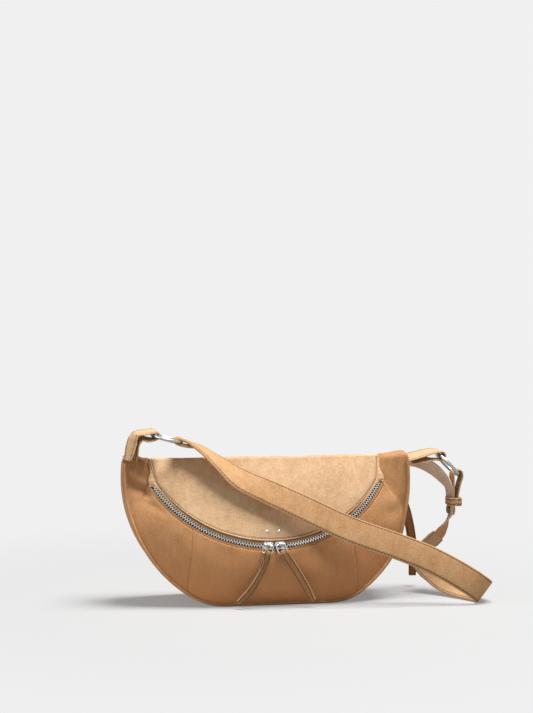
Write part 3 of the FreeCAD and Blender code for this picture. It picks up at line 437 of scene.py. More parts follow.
@dataclass
class Finishes:
    """All the finishes of the bag."""

    # Painted light: suede and sewn are two copies of one leather. Suede is deeper and more saturated, for
    # the shaded front, gusset and lower facing. Sewn is paler, for the lit flap, and the back, fold, tabs,
    # chape and keeper share it.
    suede: Material = finish(
        # Painted shade: this copy turns deeper orange below 0.11 m.
        Suede("tan_suede", (0.4, 0.188, 0.076, 1), (0.56, 0.295, 0.135, 1), painted_shade_height=0.11)
    )
    sewn: Material = finish(Suede("tan_suede_sewn", sewn=True))
    strap: Material = finish(
        Suede("strap_suede", (0.44, 0.225, 0.094, 1), (0.63, 0.375, 0.188, 1), sewn=True)
    )
    inner: Material = finish(
        Suede("strap_lining_leather", (0.42, 0.25, 0.12, 1), (0.55, 0.345, 0.185, 1), sewn=True, nap=0.3)
    )
    flesh: Material = finish(Suede("flesh_side", (0.68, 0.48, 0.35, 1), (0.84, 0.66, 0.52, 1), nap=0.8))
    pull: Material = finish(
        Suede("pull_suede", (0.31, 0.145, 0.056, 1), (0.45, 0.225, 0.092, 1), seam_inset=1.3 * MM, sewn=True)
    )
    silver: Material = finish(Plated("polished_plating"))
    teeth: Material = finish(
        Plated("zip_teeth_plating", (0.52, 0.51, 0.49, 1), (0.3, 0.29, 0.275, 1), 0.22)
    )
    tape: Material = finish(Woven("zip_tape_weave", (0.22, 0.11, 0.05, 1), (0.36, 0.2, 0.09, 1)))
    lining: Material = finish(Woven("lining_weave", (0.3, 0.2, 0.12, 1), (0.46, 0.33, 0.22, 1), 1100))
    board: Material = finish(Moulded("base_board_grain"))
    brown: Material = finish(Moulded("browned_stud", (0.2, 0.1, 0.045, 1), (0.3, 0.16, 0.075, 1)))
    # Painted shade: the piping gets the deeper, more saturated colours of the shaded front, to damp the
    # light it catches along the bottom.
    cord: Material = finish(Suede("piping_suede", (0.4, 0.195, 0.08, 1), (0.57, 0.31, 0.145, 1)))


@dataclass
class Sheet:
    """A leather sheet made from a grid that is laid over a surface."""

    name: str
    columns: int
    rows: int
    place: Place
    sewing: Measure = lambda across, up: (0.0, 0.05)
    thickness: float = 1.6 * MM
    closed: bool = False
    smoothing: int = 1

    def make(self, *materials: Material) -> bpy.types.Object:
        """Build the object.

        Args:
            materials: the outer finish, and the inner one where it differs.

        Returns:
            The finished piece.
        """
        mesh = bmesh.new()
        bmesh.ops.create_grid(mesh, x_segments=self.columns, y_segments=self.rows, size=0.5)
        where = {vert: (vert.co.x + 0.5, vert.co.y + 0.5) for vert in mesh.verts}
        layer = mesh.loops.layers.uv.new("sewing")
        for face in mesh.faces:
            face.smooth = True
            for loop in face.loops:
                loop[layer].uv = self.sewing(*where[loop.vert])
        for vert, (across, up) in where.items():
            vert.co = self.place(across, up)
        if self.closed:
            bmesh.ops.remove_doubles(mesh, verts=mesh.verts, dist=0.05 * MM)
            bmesh.ops.recalc_face_normals(mesh, faces=mesh.faces)
        piece = new_piece(mesh, self.name, *materials)
        if not self.closed:
            wall = piece.modifiers.new("wall", "SOLIDIFY")
            wall.thickness = self.thickness
            wall.offset = -1
            wall.material_offset = len(materials) - 1
        if self.smoothing:
            soft = piece.modifiers.new("soft", "SUBSURF")
            soft.levels = self.smoothing
            soft.render_levels = self.smoothing
        return piece


@dataclass
class Route:
    """A leather strip's way through space, with its cross direction and width."""

    stations: list[Station]
    steps: int = 8
    samples: list[Sample] = field(default_factory=list)

    def __post_init__(self) -> None:
        """Sample a smooth curve through the stations."""
        knots = [0.0]
        for (first, _, _), (second, _, _) in zip(self.stations, self.stations[1:]):
            knots.append(knots[-1] + max(1e-6, (second - first).length))
        places: list[Station] = []
        last = len(self.stations) - 1
        slopes = [self.slope(k, knots) for k in range(last + 1)]
        for k in range(last):
            (p0, w0, b0), (p1, w1, b1) = self.stations[k], self.stations[k + 1]
            span = knots[k + 1] - knots[k]
            for step in range(self.steps + (k == last - 1)):
                t = step / self.steps
                t2, t3 = t * t, t * t * t
                point = p0 * (2 * t3 - 3 * t2 + 1) + slopes[k] * (span * (t3 - 2 * t2 + t))
                point += p1 * (3 * t2 - 2 * t3) + slopes[k + 1] * (span * (t3 - t2))
                ease = t2 * (3 - 2 * t)
                places.append((point, w0.lerp(w1, t), b0 + (b1 - b0) * ease))
        length = 0.0
        for k, (point, cross, width) in enumerate(places):
            before, after = places[max(0, k - 1)][0], places[min(len(places) - 1, k + 1)][0]
            run = (after - before).normalized()
            cross = (cross - run * cross.dot(run)).normalized()
            if k:
                length += (point - places[k - 1][0]).length
            self.samples.append((point, run, cross, width, length))

    def slope(self, k: int, knots: Sequence[float]) -> Vector:
        """Return the curve's slope at a station.

        Args:
            k: the station's number.
            knots: lengths along the stations.

        Returns:
            The slope per metre.
        """
        first, last = max(0, k - 1), min(len(self.stations) - 1, k + 1)
        chord = self.stations[last][0] - self.stations[first][0]
        return chord / (knots[last] - knots[first])

    def at(self, share: float) -> Sample:
        """Return the sample at a share of the way."""
        spot = share * (len(self.samples) - 1)
        k = min(int(spot), len(self.samples) - 2)
        part = spot - k
        first, second = self.samples[k], self.samples[k + 1]
        point = first[0].lerp(second[0], part)
        run = first[1].lerp(second[1], part).normalized()
        cross = first[2].lerp(second[2], part).normalized()
        return point, run, cross, *(a + (b - a) * part for a, b in zip(first[3:], second[3:]))

    def sheet(self, name: str, lift: float, thickness: float, rows: int = 8, cup: float = 0.0) -> Sheet:
        """Lay a leather strip along the route.

        Args:
            name: the piece's name.
            lift: how far its outer face stands over the route.
            thickness: of the leather.
            rows: faces across it.
            cup: how far its edges curl under.

        Returns:
            The sheet, ready to be made.
        """

        def place(along: float, across: float) -> Vector:
            point, run, cross, width, _ = self.at(along)
            face = run.cross(cross)
            side = across - 0.5
            return point + cross * (width * side) + face * (lift - cup * (2 * side) ** 2)

        def sewing(along: float, across: float) -> Pair:
            _, _, _, width, length = self.at(along)
            return length, width * from_end(across)

        return Sheet(name, len(self.samples) - 1, rows, place, sewing, thickness)


def settle(piece: bpy.types.Object, body: Body, slot: str, *nodes: str) -> bpy.types.Object:
    """Hang a finished piece on its body.

    Args:
        piece: the new object.
        body: the body it moves with.
        slot: not used.
        nodes: solids that it stands for.

    Returns:
        The piece.
    """
    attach(piece, body.value)
    if nodes:
        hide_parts(*nodes)
    LOG.info("%s: %d faces", piece.name, len(piece.data.polygons))
    return piece


def span(piece: bpy.types.Object, second: Body, start: Vector, end: Vector, node: str) -> None:
    """Bake a piece's placement into its mesh and hide the solid that it stands for.

    Args:
        piece: the new object.
        second: not used.
        start: not used.
        end: not used.
        node: the solid that it stands for.
    """
    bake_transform(piece)
    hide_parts(node)
    LOG.info("%s: %d faces", piece.name, len(piece.data.polygons))


@dataclass(frozen=True)
class Crease:
    """A dent along a line on the front, seen from the front."""

    start: Pair
    end: Pair
    width: float
    depth: float

    def at(self, across: float, height: float) -> float:
        """Return the dent's depth at a place.

        Args:
            across: place along the bag.
            height: height over the base.

        Returns:
            How far the surface is pushed in.
        """
        x0, z0 = self.start
        x1, z1 = self.end
        dx, dz = x1 - x0, z1 - z0
        length = math.hypot(dx, dz)
        along = ((across - x0) * dx + (height - z0) * dz) / length
        aside = ((across - x0) * -dz + (height - z0) * dx) / length
        beyond = max(0.0, -along, along - length)
        return self.depth * hump(aside, self.width) * hump(beyond, self.width * 1.5)


CREASES = (
    Crease((-0.149, 0.122), (-0.126, 0.116), 4.5 * MM, 7.5 * MM),
    Crease((-0.14, 0.136), (-0.122, 0.126), 4 * MM, 2.5 * MM),
    Crease((-0.13, 0.107), (-0.112, 0.098), 4 * MM, 1.6 * MM),
    Crease((0.136, 0.14), (0.13, 0.112), 7 * MM, 2.5 * MM),
    Crease((0.147, 0.1), (0.128, 0.09), 6 * MM, 1.8 * MM),
    Crease((-0.098, 0.062), (-0.09, 0.03), 7 * MM, 1.2 * MM),
    Crease((0.022, 0.046), (0.012, 0.018), 9 * MM, 1.0 * MM),
    Crease((-0.05, 0.05), (-0.055, 0.02), 10 * MM, 0.9 * MM),
)


@dataclass(frozen=True)
class BagForm:
    """Surfaces that the bag's panels are cut and sewn to."""

    half_width: float = 0.15
    base_half: float = 0.0483
    corner: float = 0.07
    half_depth: float = 0.036
    widest: float = 0.128
    horn: float = 0.146
    horn_front: float = 0.0095
    back_lean: float = math.radians(7.5)
    tilt: float = math.radians(32)
    zip_radius: float = 0.1365
    zip_low: Pair = (-0.044, 0.06095)
    zip_angle: float = math.radians(62.4)
    margin: float = 0.005
    flap_length: float = 0.1
    flap_half: float = 0.1215
    arc_top: float = 0.8
    fan: float = 0.764
    tuck_under: float = 3.5 * MM
    sag_depth: float = 5.5 * MM
    setback_depth: float = 8 * MM
    left_lift: float = 6 * MM
    right_lift: float = 3 * MM
    wing_bulge: float = 2 * MM
    middle_bulge: float = 6 * MM
    over_horn: float = 0.12
    inward: Triple = (0, 0.94, -0.34)
    sag_rise: Pair = (0.0, 0.045)
    sag_fall: Pair = (0.09, 0.15)
    setback_across: Pair = (0.114, 0.148)
    setback_height: Pair = (0.07, 0.118)
    left_horn: Pair = (0.126, 0.141)
    left_edge: Pair = (0.1425, 0.15)
    right_horn: Pair = (0.122, 0.15)
    horn_reach: float = 0.04
    ripple: Ripple = Ripple(1.1 * MM, 26, 30, 3.1)

    @property
    def side_centre(self) -> float:
        """Middle of a side arc along the bag."""
        reach, rise = self.half_width - self.corner, self.widest - self.corner
        return (reach**2 - rise**2 - self.base_half**2) / (2 * (reach - self.base_half))

    @property
    def side_radius(self) -> float:
        """Radius of the side arcs."""
        return self.half_width - self.side_centre

    @property
    def corner_angle(self) -> float:
        """Angle at which a side arc follows its corner."""
        return math.atan2(self.corner - self.widest, self.base_half - self.side_centre)

    @property
    def corner_length(self) -> float:
        """Length of a corner's arc."""
        return self.corner * (self.corner_angle + math.pi / 2)

    @property
    def side_length(self) -> float:
        """Length of a corner and its side arc."""
        top = math.asin((self.horn - self.widest) / self.side_radius)
        return self.corner_length + self.side_radius * (top - self.corner_angle)

    @property
    def seam_half(self) -> float:
        """Half the length of the bottom seam."""
        return self.base_half + self.side_length

    def outline(self, along: float) -> tuple[Vector, Vector]:
        """Return a point of the outline and its outward direction.

        Args:
            along: length from the middle of the base.

        Returns:
            The point and the direction.
        """
        side = math.copysign(1, along)
        length = abs(along) - self.base_half
        if length <= 0:
            return Vector((along, 0, 0)), Vector((0, 0, -1))
        if length <= self.corner_length:
            angle, radius = length / self.corner - math.pi / 2, self.corner
            centre = Vector((side * self.base_half, 0, self.corner))
        else:
            radius = self.side_radius
            angle = self.corner_angle + (length - self.corner_length) / radius
            centre = Vector((side * self.side_centre, 0, self.widest))
        out = Vector((side * math.cos(angle), 0, math.sin(angle)))
        return centre + out * (radius + self.sag(side * length)), out

    def sag(self, length: float) -> float:
        """Return how far the soft right side hangs out at a length past the base."""
        return self.sag_depth * smooth(length, *self.sag_rise) * (1 - smooth(length, *self.sag_fall))

    def sagged(self, across: float, height: float) -> Vector:
        """Return how far a point of the back is drawn along by the soft right side.

        Args:
            across: place along the bag.
            height: height over the floor.

        Returns:
            The shift.
        """
        if across <= 0:
            return Vector()
        if height < self.corner * (1 + math.sin(self.corner_angle)):
            length = self.corner * math.acos(1 - height / self.corner)
        else:
            turned = math.asin((height - self.widest) / self.side_radius) - self.corner_angle
            length = self.corner_length + self.side_radius * turned
        _, out = self.outline(self.base_half + length)
        return out * (self.sag(length) * min(1.0, across / self.half_at(height)) ** 4)

    def setback(self, across: float, height: float) -> float:
        """Return how far the left wing falls back behind the flap."""
        aside = smooth(-across, *self.setback_across)
        return self.setback_depth * aside * smooth(height, *self.setback_height)

    def half_at(self, height: float) -> float:
        """Return half the bag's width at a height."""
        if height < self.corner * (1 + math.sin(self.corner_angle)):
            rise = self.corner - height
            return self.base_half + math.sqrt(max(0, self.corner**2 - rise**2))
        rise = height - self.widest
        return self.side_centre + math.sqrt(max(0, self.side_radius**2 - rise**2))

    def horn_lift(self, across: float, height: float) -> float:
        """Return how far the leather of a horn is drawn up into its tab."""
        near = smooth(height, self.horn - self.horn_reach, self.horn)
        if across < 0:
            edge = 1 - 0.8 * smooth(-across, *self.left_edge)
            return self.left_lift * near * smooth(-across, *self.left_horn) * edge
        return self.right_lift * near * smooth(across, *self.right_horn)

    def front_depth(self, along: float) -> float:
        """Return where the front seam is across the depth."""
        share = max(0.0, (abs(along) - self.base_half) / self.side_length)
        return -self.half_depth + (self.half_depth - self.horn_front) * share**1.5

    def back_depth(self, height: float) -> float:
        """Return where the back's outer face is across the depth."""
        return self.half_depth - height * math.tan(self.back_lean)

    def on_flap(self, across: float, up: float, rise: float) -> Vector:
        """Return a point in the flap's frame, whose origin is the zip arc's centre.

        Args:
            across: along the bag.
            up: up the flap.
            rise: out of the flap.

        Returns:
            The point.
        """
        sin, cos = math.sin(self.tilt), math.cos(self.tilt)
        y = self.zip_low[0] + (self.zip_radius + up) * sin - rise * cos
        z = self.zip_low[1] + (self.zip_radius + up) * cos + rise * sin
        return Vector((across, y, z))

    def on_zip(self, angle: float, radius: float, rise: float) -> Vector:
        """Return a point at an angle and a radius about the zip arc's centre."""
        return self.on_flap(radius * math.sin(angle), -radius * math.cos(angle), rise)

    def panel_top(self, share: float) -> Vector:
        """Return the upper edge of the front at a share from the middle."""
        side = math.copysign(1, share)
        part = abs(share)
        edge = self.zip_radius + self.margin
        if part <= self.arc_top:
            return self.on_zip(side * self.zip_angle * part / self.arc_top, edge, 0.9 * MM)
        step = (part - self.arc_top) / (1 - self.arc_top)
        flap_edge = self.zip_radius - self.margin
        low_up, top_up = -edge * math.cos(self.zip_angle), self.flap_length - self.zip_radius
        corner_x, corner_up = flap_edge * math.sin(self.zip_angle), -flap_edge * math.cos(self.zip_angle)
        up = low_up + (top_up - low_up) * step
        beside = corner_x + (self.flap_half - corner_x) * (up - corner_up) / (top_up - corner_up)
        low_gap = edge * math.sin(self.zip_angle) - corner_x
        tuck = smooth(step, 0.0, 0.35)
        x = beside + low_gap - (self.tuck_under + low_gap) * tuck
        return self.on_flap(side * x, up, (0.9 - 5.4 * tuck) * MM)

    def front(self, share: float, down: float) -> Vector:
        """Return a point of the front, with its sag and its dents.

        Args:
            share: -1 at the left horn to 1 at the right; past that it goes over the horn.
            down: 0 at the upper edge to 1 at the bottom seam.

        Returns:
            The point.
        """
        side = math.copysign(1, share)
        over = max(0.0, abs(share) - 1) / self.over_horn
        share = side * min(1.0, abs(share))
        along = self.seam_half * (self.fan * share + (1 - self.fan) * share**3)
        top = self.panel_top(share)
        foot, _ = self.outline(along)
        low = Vector((foot.x, self.front_depth(along), foot.z))
        bulge = self.middle_bulge * (1 - share**2) + self.wing_bulge
        point = top.lerp(low, down)
        belly = 4 * down * (1 - down)
        point.y -= bulge * belly
        edge = min(1.0, belly * 2.2)
        dent = sum(crease.at(point.x, point.z) for crease in CREASES) * edge
        ripple = self.ripple.at(point.x, point.z) * edge
        point += Vector(self.inward) * (dent - ripple)
        if over:
            back = self.back_depth(self.horn) - 1.8 * MM
            inner = self.flap_half + self.margin / 2
            shoulder = Vector((side * (inner + (foot.x * side - inner) * down), back, self.horn + 2 * MM))
            point = point.lerp(shoulder, over)
            point.z += 1.2 * MM * arch(over)
        point.y += self.setback(point.x, point.z) * (1 - over)
        point.z += self.horn_lift(point.x, point.z)
        return point


@dataclass
class BagShell:
    """Front, gusset, back, piping, fold and lining of the body."""

    form: BagForm
    finishes: Finishes
    seam: float = 0.455
    seam_lap: float = 0.004
    trim: float = 3 * MM
    lining_trim: float = 26 * MM
    cord_inset: float = 1.5 * MM
    cord_radius: float = 1.8 * MM
    zip_edges: Pair = (0.1228, 0.1332)
    groove: Pair = (0.55 * MM, 1.5 * MM)
    fold_rise: float = 3.4 * MM
    gusset_ripple: Ripple = Ripple(0.7 * MM, 30, 40, 7.7)
    back_ripple: Ripple = Ripple(1.2 * MM, 22, 26, 11.3)
    fold_ripple: Ripple = Ripple(1.3 * MM, 30, 2, 5.2)

    def build(self) -> None:
        """Make every panel of the shell."""
        self.front_panels()
        self.gusset()
        self.back_panels()
        self.piping("front_piping", self.front_cord)
        self.piping("back_piping", self.back_cord)
        self.fold()
        self.linings()

    def front_panels(self) -> None:
        """Make the three panels of the front."""
        end = 1 + self.form.over_horn
        for name, low, high, columns in (
            ("front_left_panel", -end, -self.seam + self.seam_lap, 40),
            ("front_centre_panel", -self.seam, self.seam, 64),
            ("front_right_panel", self.seam - self.seam_lap, end, 40),
        ):

            def place(across: float, up: float, low: float = low, high: float = high) -> Vector:
                share = low + (high - low) * across
                point = self.form.front(share, 1 - up)
                gap = min(abs(abs(share) - self.seam) * 0.17, 0.02)
                point.y += self.groove[0] * hump(gap, self.groove[1])
                return point

            sheet = Sheet(name + "_leather", columns, 36, place)
            settle(sheet.make(self.finishes.suede), Body.BAG, "suede", name)

    def gusset(self) -> None:
        """Make the band round the base and the sides."""
        form = self.form

        def place(across: float, up: float) -> Vector:
            along = (2 * across - 1) * (form.seam_half - self.trim)
            foot, out = form.outline(along)
            front = form.front_depth(along) - 0.4 * MM + form.setback(foot.x, foot.z)
            back = form.back_depth(foot.z) - 1.2 * MM
            depth = back + (front - back) * up
            swell = 1.2 * MM * arch(up) * smooth(foot.z, 0.02, 0.06)
            ripple = self.gusset_ripple.at(along, depth) * arch(up) * (foot.z >= 2 * MM)
            high = foot.z + form.horn_lift(foot.x, foot.z)
            return Vector((foot.x, depth, high)) + out * (swell + ripple - 0.4 * MM * (foot.z > 0.01))

        sheet = Sheet("gusset_leather", 120, 12, place)
        settle(sheet.make(self.finishes.suede), Body.BAG, "suede", "gusset")

    def back_panels(self) -> None:
        """Make the two panels of the back, above and below its zip."""
        form = self.form
        lean = math.cos(form.back_lean)
        for name, low, high, rows in (
            ("back_lower_panel", 0.6 * MM, self.zip_edges[0] * lean, 36),
            ("back_upper_panel", self.zip_edges[1] * lean, form.horn, 6),
        ):

            def place(across: float, up: float, low: float = low, high: float = high) -> Vector:
                height = low + (high - low) * up
                half = form.half_at(height)
                x = (1 - 2 * across) * half
                puff = 1.4 * MM * arch(up) * arch(across)
                ripple = self.back_ripple.at(x, height)
                depth = form.back_depth(height) + puff + ripple * arch(up)
                return Vector((x, depth, height + form.horn_lift(x, height))) + form.sagged(x, height)

            def sewing(across: float, up: float, low: float = low, high: float = high) -> Pair:
                edge = up if low > 0.1 else 1 - up
                return across * 0.29, edge * (high - low)

            sheet = Sheet(name + "_leather", 80, rows, place, sewing)
            settle(sheet.make(self.finishes.sewn), Body.BAG, "suede", name)

    def front_cord(self, along: float) -> Vector:
        """Return the middle of the front piping."""
        foot, out = self.form.outline(along)
        depth = self.form.front_depth(along) - 1.4 * MM + self.form.setback(foot.x, foot.z)
        return foot - out * self.cord_inset + BACK * depth

    def back_cord(self, along: float) -> Vector:
        """Return the middle of the back piping."""
        foot, out = self.form.outline(along)
        return foot - out * self.cord_inset + BACK * (self.form.back_depth(foot.z) + 1.2 * MM)

    def piping(self, name: str, middle: Callable[[float], Vector]) -> None:
        """Make the round piping along a seam.

        Args:
            name: the solid's name.
            middle: gives the piping's middle along the outline.
        """

        def place(along: float, turn: float) -> Vector:
            length = (2 * along - 1) * (self.form.seam_half - self.trim)
            _, out = self.form.outline(length)
            angle = 2 * math.pi * turn
            rim = out * math.cos(angle) + BACK * math.sin(angle)
            point = middle(length) + rim * self.cord_radius
            return point + UP * self.form.horn_lift(point.x, point.z)

        sheet = Sheet(name + "_cord", 160, 8, place, closed=True, smoothing=1)
        settle(sheet.make(self.finishes.cord), Body.BAG, "suede", name)

    def fold(self) -> None:
        """Make the soft fold along the top."""
        form = self.form
        front = form.on_flap(0, form.flap_length - form.zip_radius - 1 * MM, 1.8 * MM)
        back = Vector((0, form.back_depth(form.horn) + 0.4 * MM, form.horn - 0.5 * MM))
        crown = (front + back) / 2 + UP * self.fold_rise

        def place(across: float, up: float) -> Vector:
            point = back * (1 - up) ** 2 + crown * (2 * up * (1 - up)) + front * up**2
            x = (1 - 2 * across) * (form.flap_half + 0.4 * MM)
            sag = self.fold_ripple.at(x, up) * arch(up)
            return Vector((x, point.y, point.z + sag))

        sheet = Sheet("top_fold_leather", 70, 10, place)
        span(sheet.make(self.finishes.sewn), Body.FLAP, back, front, "top_fold")

    def linings(self) -> None:
        """Make the cloth that lines the body, and the back pocket's pouch."""
        form = self.form

        def front(across: float, up: float) -> Vector:
            share = (2 * across - 1) * form.arc_top
            point = form.front(share, 1 - up)
            return point + Vector((0, 3.4 * MM, 0.0)) + UP * (4.6 * MM * (1 - up))

        def band(across: float, up: float) -> Vector:
            along = (2 * across - 1) * (form.seam_half - self.lining_trim)
            foot, out = form.outline(along)
            low, high = form.back_depth(foot.z) - 10.4 * MM, form.front_depth(along) + 4.4 * MM
            high += form.setback(foot.x, foot.z)
            return Vector((foot.x, low + (high - low) * up, foot.z)) - out * (3.9 * MM)

        def back(across: float, up: float) -> Vector:
            height = 6 * MM + 0.134 * up
            half = form.half_at(height) - 6 * MM
            return Vector(((1 - 2 * across) * half, form.back_depth(height) - 8.7 * MM, height))

        for name, place, columns, rows in (
            ("front_lining", front, 60, 20),
            ("gusset_lining", band, 90, 8),
            ("back_lining", back, 50, 24),
        ):
            sheet = Sheet(name + "_cloth", columns, rows, place, thickness=0.7 * MM, smoothing=0)
            settle(sheet.make(self.finishes.lining), Body.BAG, "lining", name)


@dataclass
class Flap:
    """The D-shaped flap, its lining and the zip's leather facing."""

    form: BagForm
    finishes: Finishes
    rise: float = 2.6 * MM
    puff: float = 3.0 * MM
    lip: float = 0.9 * MM
    groove: float = 0.5 * MM
    pucker: float = 0.6 * MM
    ripple: Ripple = Ripple(1.3 * MM, 17, 22, 1.7)
    rivet: Triple = (2.1 * MM, 2.1 * MM, 1.3 * MM)
    rivet_angle: float = math.radians(2.98)
    rivet_inset: float = 15.5 * MM

    def build(self) -> None:
        """Make the flap's pieces."""
        form = self.form
        top = form.flap_length - form.zip_radius
        edge = form.zip_radius - form.margin

        def spot(across: float, up: float) -> Pair:
            angle = (2 * across - 1) * form.zip_angle
            low_x, low_y = edge * math.sin(angle), -edge * math.cos(angle)
            return low_x + ((2 * across - 1) * form.flap_half - low_x) * up, low_y + (top - low_y) * up

        def tight(across: float, up: float) -> Pair:
            return 0.5 * across + 0.25 * (1 - math.cos(math.pi * across)), up**1.5

        def inset(across: float, up: float) -> float:
            return min(up * 0.09 * math.cos((2 * across - 1) * 0.9), from_end(across) * 0.24)

        def outer(across: float, up: float) -> Vector:
            across, up = tight(across, up)
            x, y = spot(across, up)
            away = inset(across, up)
            rim = smooth(away, 0.0, 0.012)
            ends = from_end(across)
            near_end = hump(ends, 0.16)
            lip = self.lip * hump(away - 0.9 * MM, 1.0 * MM) * (1 - near_end)
            lip -= self.groove * hump(away - 2.4 * MM, 0.9 * MM) + self.lip * near_end * hump(away, 5 * MM)
            puff = self.puff * arch(across) * arch(min(1, up * 1.05)) * rim
            ripple = self.ripple.at(x, y) * rim * (1 - 0.8 * hump(ends, 0.1))
            pucker = self.pucker * abs(math.sin(x * 450)) * hump(ends, 0.03) * hump(up, 0.25)
            return form.on_flap(x, y, self.rise + puff + ripple + lip - pucker * (1 - rim * 0.4))

        def inner(across: float, up: float) -> Vector:
            x, y = spot(1 - across, up)
            return form.on_flap(x * 0.985, y, -0.3 * MM)

        def sewing(across: float, up: float) -> Pair:
            across, up = tight(across, up)
            return across * 2 * form.zip_angle * edge, inset(across, up)

        sheet = Sheet("flap_leather", 96, 44, outer, sewing, 1.7 * MM)
        settle(sheet.make(self.finishes.sewn), Body.FLAP, "suede", "flap_panel")
        cloth = Sheet("flap_lining_cloth", 48, 20, inner, thickness=0.7 * MM, smoothing=0)
        settle(cloth.make(self.finishes.lining), Body.FLAP, "lining", "flap_lining")
        self.rivets()
        self.upper_facing(edge, top)
        self.lower_facing(form.zip_radius + 1.7 * MM, form.zip_radius + form.margin - 0.4 * MM)

    def upper_facing(self, edge: float, top: float) -> None:
        """Make the rolled strip under the flap's edge, up both sides to the top.

        Args:
            edge: radius of the flap's lower edge.
            top: height of the flap's upper edge in its own plane.
        """
        form = self.form
        end = Vector((edge * math.sin(form.zip_angle), -edge * math.cos(form.zip_angle)))
        side = Vector((form.flap_half, top)) - end
        arc = edge * form.zip_angle

        def place(across: float, up: float) -> Vector:
            along = (2 * across - 1) * (arc + side.length * 0.97)
            way = math.copysign(1, along)
            if abs(along) <= arc:
                spot = Vector((math.sin(along / edge), -math.cos(along / edge))) * edge
                out = spot.normalized()
            else:
                step = (abs(along) - arc) / side.length
                spot = end + side * step
                straight = Vector((side.y, -side.x)).normalized()
                out = end.normalized().lerp(straight, smooth(step, 0, 0.4)).normalized()
                spot.x, out.x = way * spot.x, way * out.x
            beyond = smooth(abs(along), arc * 0.93, arc + 4 * MM)
            roll = hump(abs(along) - arc - 1 * MM, 7 * MM)
            wide = (3.4 - 0.9 * smooth(abs(along), arc, arc + side.length) + 5.4 * roll) * MM
            pucker = 0.55 * MM * math.sin(along * 1250) * beyond
            spot += out * (wide * (1 - up) - 0.4 * MM)
            rise = 0.1 * MM + (1.1 * MM + 1.6 * MM * roll + pucker) * arch(up)
            rise += (1.3 * roll - 1.2 * beyond * (1 - roll)) * (1 - up) * MM
            return form.on_flap(spot.x, spot.y, rise)

        sheet = Sheet("upper_zip_tape_facing", 200, 6, place, thickness=0.8 * MM)
        settle(sheet.make(self.finishes.sewn), Body.FLAP, "suede", "upper_zip_tape")

    def lower_facing(self, near: float, far: float) -> None:
        """Make the narrow strip below the zip's teeth.

        Args:
            near: radius of its inner edge.
            far: radius of its outer edge.
        """
        form = self.form

        def place(across: float, up: float) -> Vector:
            angle = (2 * across - 1) * form.zip_angle
            return form.on_zip(angle, far + (near - far) * up, (0.1 + 0.2 * arch(up)) * MM)

        sheet = Sheet("lower_zip_tape_facing", 120, 4, place, thickness=0.8 * MM)
        settle(sheet.make(self.finishes.suede), Body.BAG, "suede", "lower_zip_tape")

    def rivets(self) -> None:
        """Set the two small domes near the flap's lower edge."""
        form = self.form
        mesh = bmesh.new()
        for side in (-1, 1):
            spot = form.on_zip(side * self.rivet_angle, form.zip_radius - self.rivet_inset, 3.4 * MM)
            turn = Matrix.Rotation(math.pi / 2 - form.tilt, 4, "X")
            shape = Matrix.Translation(spot) @ turn @ Matrix.Diagonal((*self.rivet, 1))
            bmesh.ops.create_uvsphere(mesh, u_segments=20, v_segments=10, radius=1, matrix=shape)
        for face in mesh.faces:
            face.smooth = True
        domes = new_piece(mesh, "flap_rivet_domes", self.finishes.silver)
        settle(domes, Body.FLAP, "silver", "flap_rivets")


